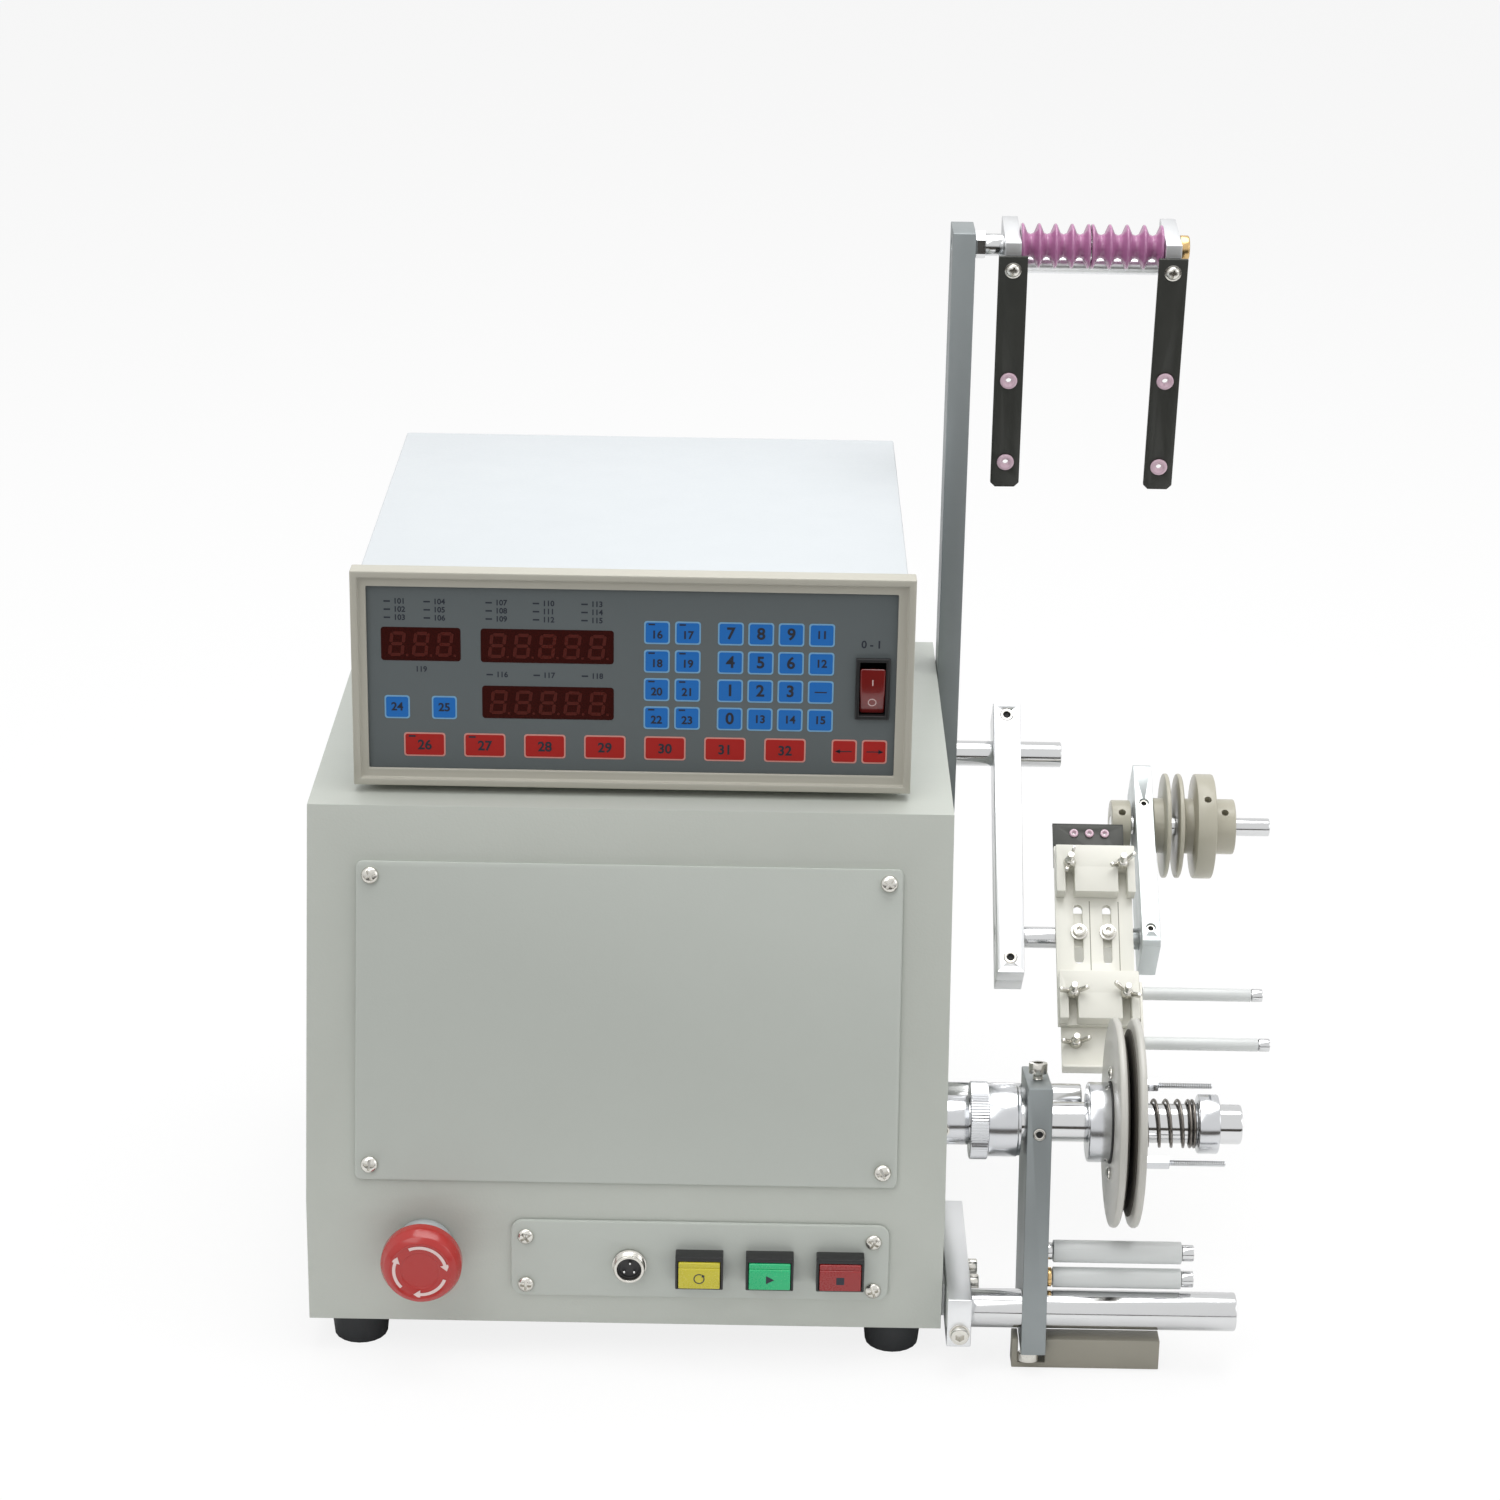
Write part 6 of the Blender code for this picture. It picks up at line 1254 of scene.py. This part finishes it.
@dataclass
class SpindleLooks:
    """The spindle with its sprung discs, the outboard arm that steadies it and the low rods."""

    axis: Pair = (28.0, 121.8)
    base: Pair = (1.0, 30.0)
    rear: Pair = (57.4, 119.8)
    knurls: int = 84
    disc: float = 52.8
    studs: tuple = ((20.0, 11.4, 268.6, 296.0), (-20.0, -12.2, 271.5, 299.6))
    dome_screws: tuple = ((6.0, 24.5), (-9.0, -24.0))
    spring_x: Pair = (258.0, 286.0)
    spring_radius: float = 11.7
    spring_wire: float = 0.75
    spring_keep: float = 0.57
    arm_x: Pair = (200.1, 212.5)
    arm_y: Pair = (-18.5, 31.0)
    arm_z: Pair = (-116.6, 21.0)
    arm_lean: float = 12.0
    rollers: tuple = (("three", 9.3, 58.4, 5.7, 3), ("four", 5.5, 45.7, 5.2, 4))
    roller_x: Pair = (215.8, 280.6)

    def build(self) -> None:
        """Every piece of the spindle and its support."""
        axis = Place.at(*self.axis)
        shaft = Form.tube(84, 309, 0, 10, 1.2, FINE_STEPS)
        fit("spindle_ground_shaft", shaft, Looks.ROD, "spindle", "spindle_shaft", place=axis)
        pulley = Form.tube(104, 118, 10, 13.6, 0.5)
        fit("spindle_belt_pulley", pulley, Looks.BRIGHT, "spindle", place=axis)
        dress("spindle_bearing_boss", "bearing_boss", Looks.STEEL, 0.4)
        rear = Form.tube(150, 230.6, 0, 8.2, 0.8, FINE_STEPS)
        fit("rear_ground_rod", rear, Looks.ROD, "cabinet", "rear_rod", place=Place.at(*self.rear))
        self.sleeve(axis)
        self.discs(axis)
        self.spring(axis)
        self.arm()
        self.low_rods()
        refinish(Looks.BLACK, "drive_motor")
        refinish(Looks.STEEL, "motor_pulley")
        refinish(Looks.RUBBER, "drive_belt")

    def sleeve(self, axis: Matrix) -> None:
        """The sleeve with its knurled ring, and the hub that carries the inner disc."""
        ring = Form.tube(172, 181.2, 10.3, 19.6, 0.8, self.knurls * 2)
        step = pi / self.knurls
        for vertex in ring.shape.verts:
            radius = vertex.co.yz.length
            if radius > 19.4 and int(round(atan2(vertex.co.z, vertex.co.y) / step)) % 2:
                share = (radius - 0.4) / radius
                vertex.co.y *= share
                vertex.co.z *= share
        sleeve = Form.turned([(181.0, 10.3), (181.0, 18.0), (195.6, 18.0), (196.0, 17.4), (197.4, 17.4),
                              (197.4, 10.3)],
                             0.4, FINE_STEPS)
        fit("spindle_sleeve_body", sleeve, Looks.STEEL, "spindle", "spindle_sleeve", place=axis)
        fit("spindle_knurled_ring", ring, Looks.STEEL, "spindle", place=axis, crease=20.0)
        hub = Form.tube(231.4, 243.0, 10.3, 20.1, 0.9, FINE_STEPS)
        fit("disc_clamping_hub", hub, Looks.STEEL, "spindle", "flange_hub", place=axis)
        # A thin black ring where the hub meets the inner disc: painted shadow of the gap between them.
        hub_gap_shadow = Form.tube(242.4, 243.4, 12, 20.8, 0.2, FINE_STEPS)
        fit("hub_dark_ring", hub_gap_shadow, Looks.HOLE, "spindle", place=axis)
        socket_screw("bearing_boss_screw", 3.2, axis @ Place.at(-12.0, 0.8, 0, 158.5), "cabinet")
        collar = Form.tube(286.9, 297.2, 10.3, 14.9, 0.7, FINE_STEPS)
        groove = Form.cuboid((292.0, -3, 13.4), (293.2, 3, 16), 0.0)
        fit("spring_stop_collar", collar.minus(groove), Looks.STEEL, "spindle", "spring_collar", place=axis)

    def discs(self, axis: Matrix) -> None:
        """The two discs with rounded rims, painted shade on their facing sides, the dome screws and the
        studs.
        """
        r = self.disc
        inner = Form.turned([(243.3, 10.3), (243.3, r - 0.6), (244.6, r), (246.0, r), (247.1, r - 1.2),
                             (247.6, 46.0), (248.6, 42.8), (248.6, 10.3)], 0.5, 96)
        fit("inner_tension_disc", inner, Looks.DISC, "spindle", "disc_inner", place=axis)
        # Dark rings on the facing sides of the discs: painted shade in the gap between them.
        disc_gap_shade = Form.turned([(247.3, 11), (247.3, 46.8), (248.2, 47.2), (249.0, 43), (249.0, 11)], 0.2, 96)
        fit("inner_disc_lining", disc_gap_shade, Looks.FELT, "spindle", place=axis)
        outer = Form.turned([(251.4, 10.3), (251.4, 42.8), (252.4, 46.0), (253.0, r - 1.2), (254.1, r),
                             (255.5, r), (256.8, r - 0.6), (256.8, 10.3)], 0.5, 96)
        fit("outer_tension_disc", outer, Looks.DISC, "sprung_disc", "disc_outer", place=axis)
        disc_gap_shade = Form.turned([(251.0, 11), (251.0, 43), (251.8, 47.2), (252.8, 46.8), (252.8, 11)], 0.2, 96)
        fit("outer_disc_lining", disc_gap_shade, Looks.FELT, "sprung_disc", place=axis)
        for i, (y, z, nut, end) in enumerate(self.studs):
            hexagon = Form.tube(256.6, nut, 1, 3.4, 0.35, 6)
            hexagon.plus(BOLTS.threaded(257.0, end, 1.5))
            fit(f"disc_stud_{i + 1}", hexagon.moved(0, y, z), Looks.STEEL, "sprung_disc", place=axis)
        for i, (y, z) in enumerate(self.dome_screws):
            dome = BOLTS.pan(3.3, (30.0 + 70 * i,)).placed(TOWARDS_VIEWER).moved(243.3, y, z)
            fit(f"disc_dome_screw_{i + 1}", dome, Looks.SCREW, "spindle", place=axis)

    def spring(self, axis: Matrix) -> None:
        """The spring, one round wire closed up at the collar's end."""
        x0, x1 = self.spring_x
        turns, closed, tight = 4, 2, 2.1
        pitch = (x1 - x0 - closed * tight) / turns
        curve = bpy.data.curves.new("spring_line", "CURVE")
        curve.dimensions = "3D"
        curve.bevel_depth = self.spring_wire
        curve.bevel_resolution = 3
        curve.use_fill_caps = True
        line = curve.splines.new("POLY")
        per_turn = 28
        total = (turns + closed) * per_turn
        line.points.add(total)
        for i, point in enumerate(line.points):
            turn = i / per_turn
            x = x0 + min(turn, turns) * pitch + max(0.0, turn - turns) * tight
            angle = tau * turn
            point.co = (x, self.spring_radius * cos(angle), self.spring_radius * sin(angle), 1.0)
        holder = bpy.data.objects.new("spring_line", curve)
        mesh = bpy.data.meshes.new_from_object(holder)
        coil = Form()
        coil.shape.from_mesh(mesh)
        bpy.data.objects.remove(holder)
        bpy.data.curves.remove(curve)
        bpy.data.meshes.remove(mesh)
        piece = fit("pressure_spring_coil", coil, Looks.SPRING, "spindle", "pressure_spring", place=axis,
                    crease=60.0)
        fixed = Place.metres() @ axis @ Vector((x1 + 1.0, 0.0, 0.0))
        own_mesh(piece)

    def arm(self) -> None:
        """The outboard arm with its screws, its roller pins and its two white rollers."""
        x0, x1 = self.arm_x
        (y0, y1), (z0, z1) = self.arm_y, self.arm_z
        place = Place.at(*self.axis, self.arm_lean)
        bar = Form.cuboid((x0, y0, z0), (x1, y1, z1), 0.6, 2)
        heel = Form.cuboid((x0 - 3, y0 - 8, -16), (x1 + 3, y1 + 30, 0), 0.0)
        heel.placed(Matrix.Translation((0, y0, z0)) @ Matrix.Rotation(radians(self.arm_lean), 4, "X")
                    @ Matrix.Translation((0, -y0, 0)))
        back = place.inverted()
        rods = ((self.axis, 10.3), (self.rear, 8.5), (self.base, 10.1))
        bores = [Form.tube(x0 - 4, x1 + 4, 0, radius, 0.0, 48).placed(back @ Place.at(*yz))
                 for yz, radius in rods]
        middle = (x0 + x1) / 2
        tapped = Form.drill(12, 30, 3.3, middle, -2.4)
        fit("outboard_arm_bar", bar.minus(heel, tapped, *bores), Looks.DULL, "cabinet", "support_arm",
            place=place)
        socket_screw("outboard_arm_set_screw", 3.1, place @ Place.at(y0 + 2.4, -2.4, 0, middle), "cabinet")
        top = BOLTS.cap(4.7, 5.4).placed(Matrix.Rotation(-pi / 2, 4, "X")).moved(middle, 2.5, z1 + 3.2)
        top.plus(BOLTS.threaded(-1.0, 3.6, 2.6).placed(UPWARDS).moved(middle, 2.5, z1))
        fit("outboard_arm_top_screw", top, Looks.SCREW, "cabinet", place=place)
        low = BOLTS.cap(5.2, 4.5).placed(Matrix.Rotation(pi / 2, 4, "X")).moved(middle - 2.1, -12.0, z0)
        fit("outboard_arm_low_screw", low, Looks.SCREW, "cabinet", place=place)
        start, end = self.roller_x
        for label, y, z, radius, number in self.rollers:
            here = Place.at(y, z)
            stem = Form.turned([(x1 - 2, 0), (x1 - 2, 4.4), (start - 0.3, 4.4), (start - 0.3, 2.5),
                                (end + 0.3, 2.5), (end + 0.3, 4.2), (end + 6.2, 4.2), (end + 6.2, 0)], 0.3)
            fit(f"roller_{label}_pin", stem, Looks.ROD, "cabinet", place=here)
            if number == 4:
                bush = Form.tube(x1 + 0.4, start - 0.6, 2.6, 4.9, 0.3)
                fit(f"roller_{label}_bush", bush, Looks.BRASS, "cabinet", place=here)
            sleeve = Form.tube(start, end, 2.8, radius, 0.5)
            fit(f"white_roller_{label}", sleeve, Looks.NYLON, f"roller_{label}", f"guide_roller_{number}",
                place=here)

    def low_rods(self) -> None:
        """The base rod, the bracket that holds it on the cabinet and the low rest bar."""
        rod = Form.tube(163.2, 308.5, 0, 9.8, 1.0, FINE_STEPS)
        fit("base_ground_rod", rod, Looks.ROD, "cabinet", "base_rod", place=Place.at(*self.base))
        dress("base_rod_bracket", "base_bracket", Looks.BRIGHT, 0.5)
        cap = BOLTS.cap(4.5, 3.8, 5.2).moved(168.6, -16.0, 24.2)
        fit("base_bracket_screw", cap, Looks.SCREW, "cabinet")
        for i, (y, z) in enumerate(((42.0, 31.0), (25.6, 31.0))):
            bolt = BOLTS.cap(4.2, 5.6, 5.0).placed(Matrix.Rotation(pi / 2, 4, "Z")).moved(174.4, y, z)
            fit(f"base_bracket_bolt_{i + 1}", bolt, Looks.SCREW, "cabinet")
        dress("low_rest_bar", "rest_bar", Looks.REST, 0.4)


@dataclass
class Studio:
    """The pale floor, the soft lamps and the camera."""

    eye: tuple = (-0.0342, -1.7928, 0.9410)
    pitch: float = 20.43
    yaw: float = -0.03
    roll: float = 0.97
    lens: float = 88.11
    floor_size: float = 60.0
    floor_white: float = 0.85
    world: float = 0.5
    white: Colour = (0.93, 0.93, 0.93)
    dark: Colour = (0.075, 0.068, 0.06)
    lamps: tuple = (("key_lamp", (-0.9, -1.3, 1.9), (0.0, 0.0, 0.25), 1.4, 11.0),
                    ("top_lamp", (0.2, 0.2, 2.2), (0.0, 0.0, 0.2), 1.8, 36.0),
                    ("right_lamp", (1.8, -0.8, 1.0), (0.1, 0.0, 0.25), 1.0, 4.0))

    def build(self) -> None:
        """Floor, world, lamps and camera."""
        self.floor()
        self.sky()
        self.card("low_dark_card", (0.0, -1.75, 0.004), 1.25)
        for lamp in self.lamps:
            self.lamp(*lamp)
        self.camera()
        bpy.context.scene.view_settings.view_transform = "Standard"

    def shown_white(self, tree: bpy.types.NodeTree, plain: bpy.types.NodeSocket,
                    out: bpy.types.NodeSocket) -> None:
        """Shows the camera mostly plain white in place of a shader.

        Args:
            tree: the node tree.
            plain: the shader that lights the rest.
            out: the output's socket.
        """
        path = tree.nodes.new("ShaderNodeLightPath")
        glow = tree.nodes.new("ShaderNodeEmission")
        glow.inputs["Strength"].default_value = 1.0
        share = tree.nodes.new("ShaderNodeMath")
        share.operation = "MULTIPLY"
        share.inputs[1].default_value = self.floor_white
        mix = tree.nodes.new("ShaderNodeMixShader")
        tree.links.new(path.outputs["Is Camera Ray"], share.inputs[0])
        tree.links.new(share.outputs[0], mix.inputs["Fac"])
        tree.links.new(plain, mix.inputs[1])
        tree.links.new(glow.outputs[0], mix.inputs[2])
        tree.links.new(mix.outputs[0], out)

    def square(self, name: str, cloth: str, colour: Colour, half: float,
               place: Sequence[float] = (0.0, 0.0, 0.0)) -> bpy.types.Object:
        """A matt square of the set.

        Args:
            name: its name.
            cloth: the name of its material.
            colour: its colour.
            half: half its side.
            place: its middle.

        Returns:
            The square.
        """
        shape = bmesh.new()
        bmesh.ops.create_grid(shape, x_segments=1, y_segments=1, size=half, matrix=Matrix.Translation(place))
        mesh = bpy.data.meshes.new(name)
        shape.to_mesh(mesh)
        shape.free()
        material = bpy.data.materials.new(cloth)
        material.use_nodes = True
        shader = material.node_tree.nodes["Principled BSDF"]
        shader.inputs["Base Color"].default_value = (*colour, 1.0)
        shader.inputs["Roughness"].default_value = 0.9
        shader.inputs["Specular IOR Level"].default_value = 0.0
        mesh.materials.append(material)
        made = bpy.data.objects.new(name, mesh)
        bpy.context.scene.collection.objects.link(made)
        return made

    def floor(self) -> None:
        """A pale floor that reaches far behind the machine."""
        floor = self.square("studio_floor", "studio_paper", self.white, self.floor_size / 2)
        tree = floor.data.materials[0].node_tree
        paper = tree.nodes["Principled BSDF"].outputs[0]
        self.shown_white(tree, paper, tree.nodes["Material Output"].inputs["Surface"])

    def card(self, name: str, place: Sequence[float], half: float) -> None:
        """A dark card that only reflections and bounced light see, for dark streaks on the metal.

        Args:
            name: its name.
            place: its middle.
            half: half its side.
        """
        card = self.square(name, "dark_cloth", self.dark, half, place)
        card.visible_camera = False

    def sky(self) -> None:
        """An even white world, brighter to the camera and to reflections than as a lamp."""
        world = bpy.data.worlds.new("studio_sky")
        bpy.context.scene.world = world
        world.use_nodes = True
        tree = world.node_tree
        path = tree.nodes.new("ShaderNodeLightPath")
        seen = tree.nodes.new("ShaderNodeMath")
        seen.operation = "MAXIMUM"
        tree.links.new(path.outputs["Is Camera Ray"], seen.inputs[0])
        tree.links.new(path.outputs["Is Glossy Ray"], seen.inputs[1])
        strength = tree.nodes.new("ShaderNodeMapRange")
        strength.inputs["To Min"].default_value = self.world
        strength.inputs["To Max"].default_value = 1.0
        tree.links.new(seen.outputs[0], strength.inputs["Value"])
        background = tree.nodes["Background"]
        background.inputs["Color"].default_value = (1.0, 1.0, 1.0, 1.0)
        tree.links.new(strength.outputs[0], background.inputs["Strength"])

    def lamp(self, name: str, place: Sequence[float], aim: Sequence[float], size: float,
             power: float) -> None:
        """A soft square lamp.

        Args:
            name: its name.
            place: where it hangs.
            aim: where it points.
            size: the side of its square.
            power: its power in watts.
        """
        light = bpy.data.lights.new(name, "AREA")
        light.shape = "SQUARE"
        light.size = size
        light.energy = power
        holder = bpy.data.objects.new(name, light)
        holder.location = place
        holder.rotation_euler = (Vector(aim) - Vector(place)).to_track_quat("-Z", "Y").to_euler()
        bpy.context.scene.collection.objects.link(holder)

    def camera(self) -> None:
        """The camera at the photograph's place, which looks down a little and is rolled a little."""
        data = bpy.data.cameras.new("photo_camera")
        data.sensor_width = 36.0
        data.lens = self.lens
        data.clip_end = 200.0
        p, y, r = radians(self.pitch), radians(self.yaw), radians(self.roll)
        forward = Vector((sin(y) * cos(p), cos(y) * cos(p), -sin(p)))
        side = forward.cross(Vector((0, 0, 1))).normalized()
        up = side.cross(forward)
        right = side * cos(r) + up * sin(r)
        above = up * cos(r) - side * sin(r)
        turn = Matrix((right, above, -forward)).transposed().to_4x4()
        camera = bpy.data.objects.new("photo_camera", data)
        camera.matrix_world = Matrix.Translation(self.eye) @ turn
        bpy.context.scene.collection.objects.link(camera)
        bpy.context.scene.camera = camera


def main() -> None:
    """Builds the looks in order."""
    logging.basicConfig(level=logging.INFO, format="%(message)s")
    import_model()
    Studio().build()
    for part in (CabinetLooks(), ControllerLooks(), StandLooks(), TraverseLooks(), SpindleLooks()):
        LOG.info("building %s", type(part).__name__)
        part.build()
    bpy.context.view_layer.update()


if __name__ == "__main__":
    main()
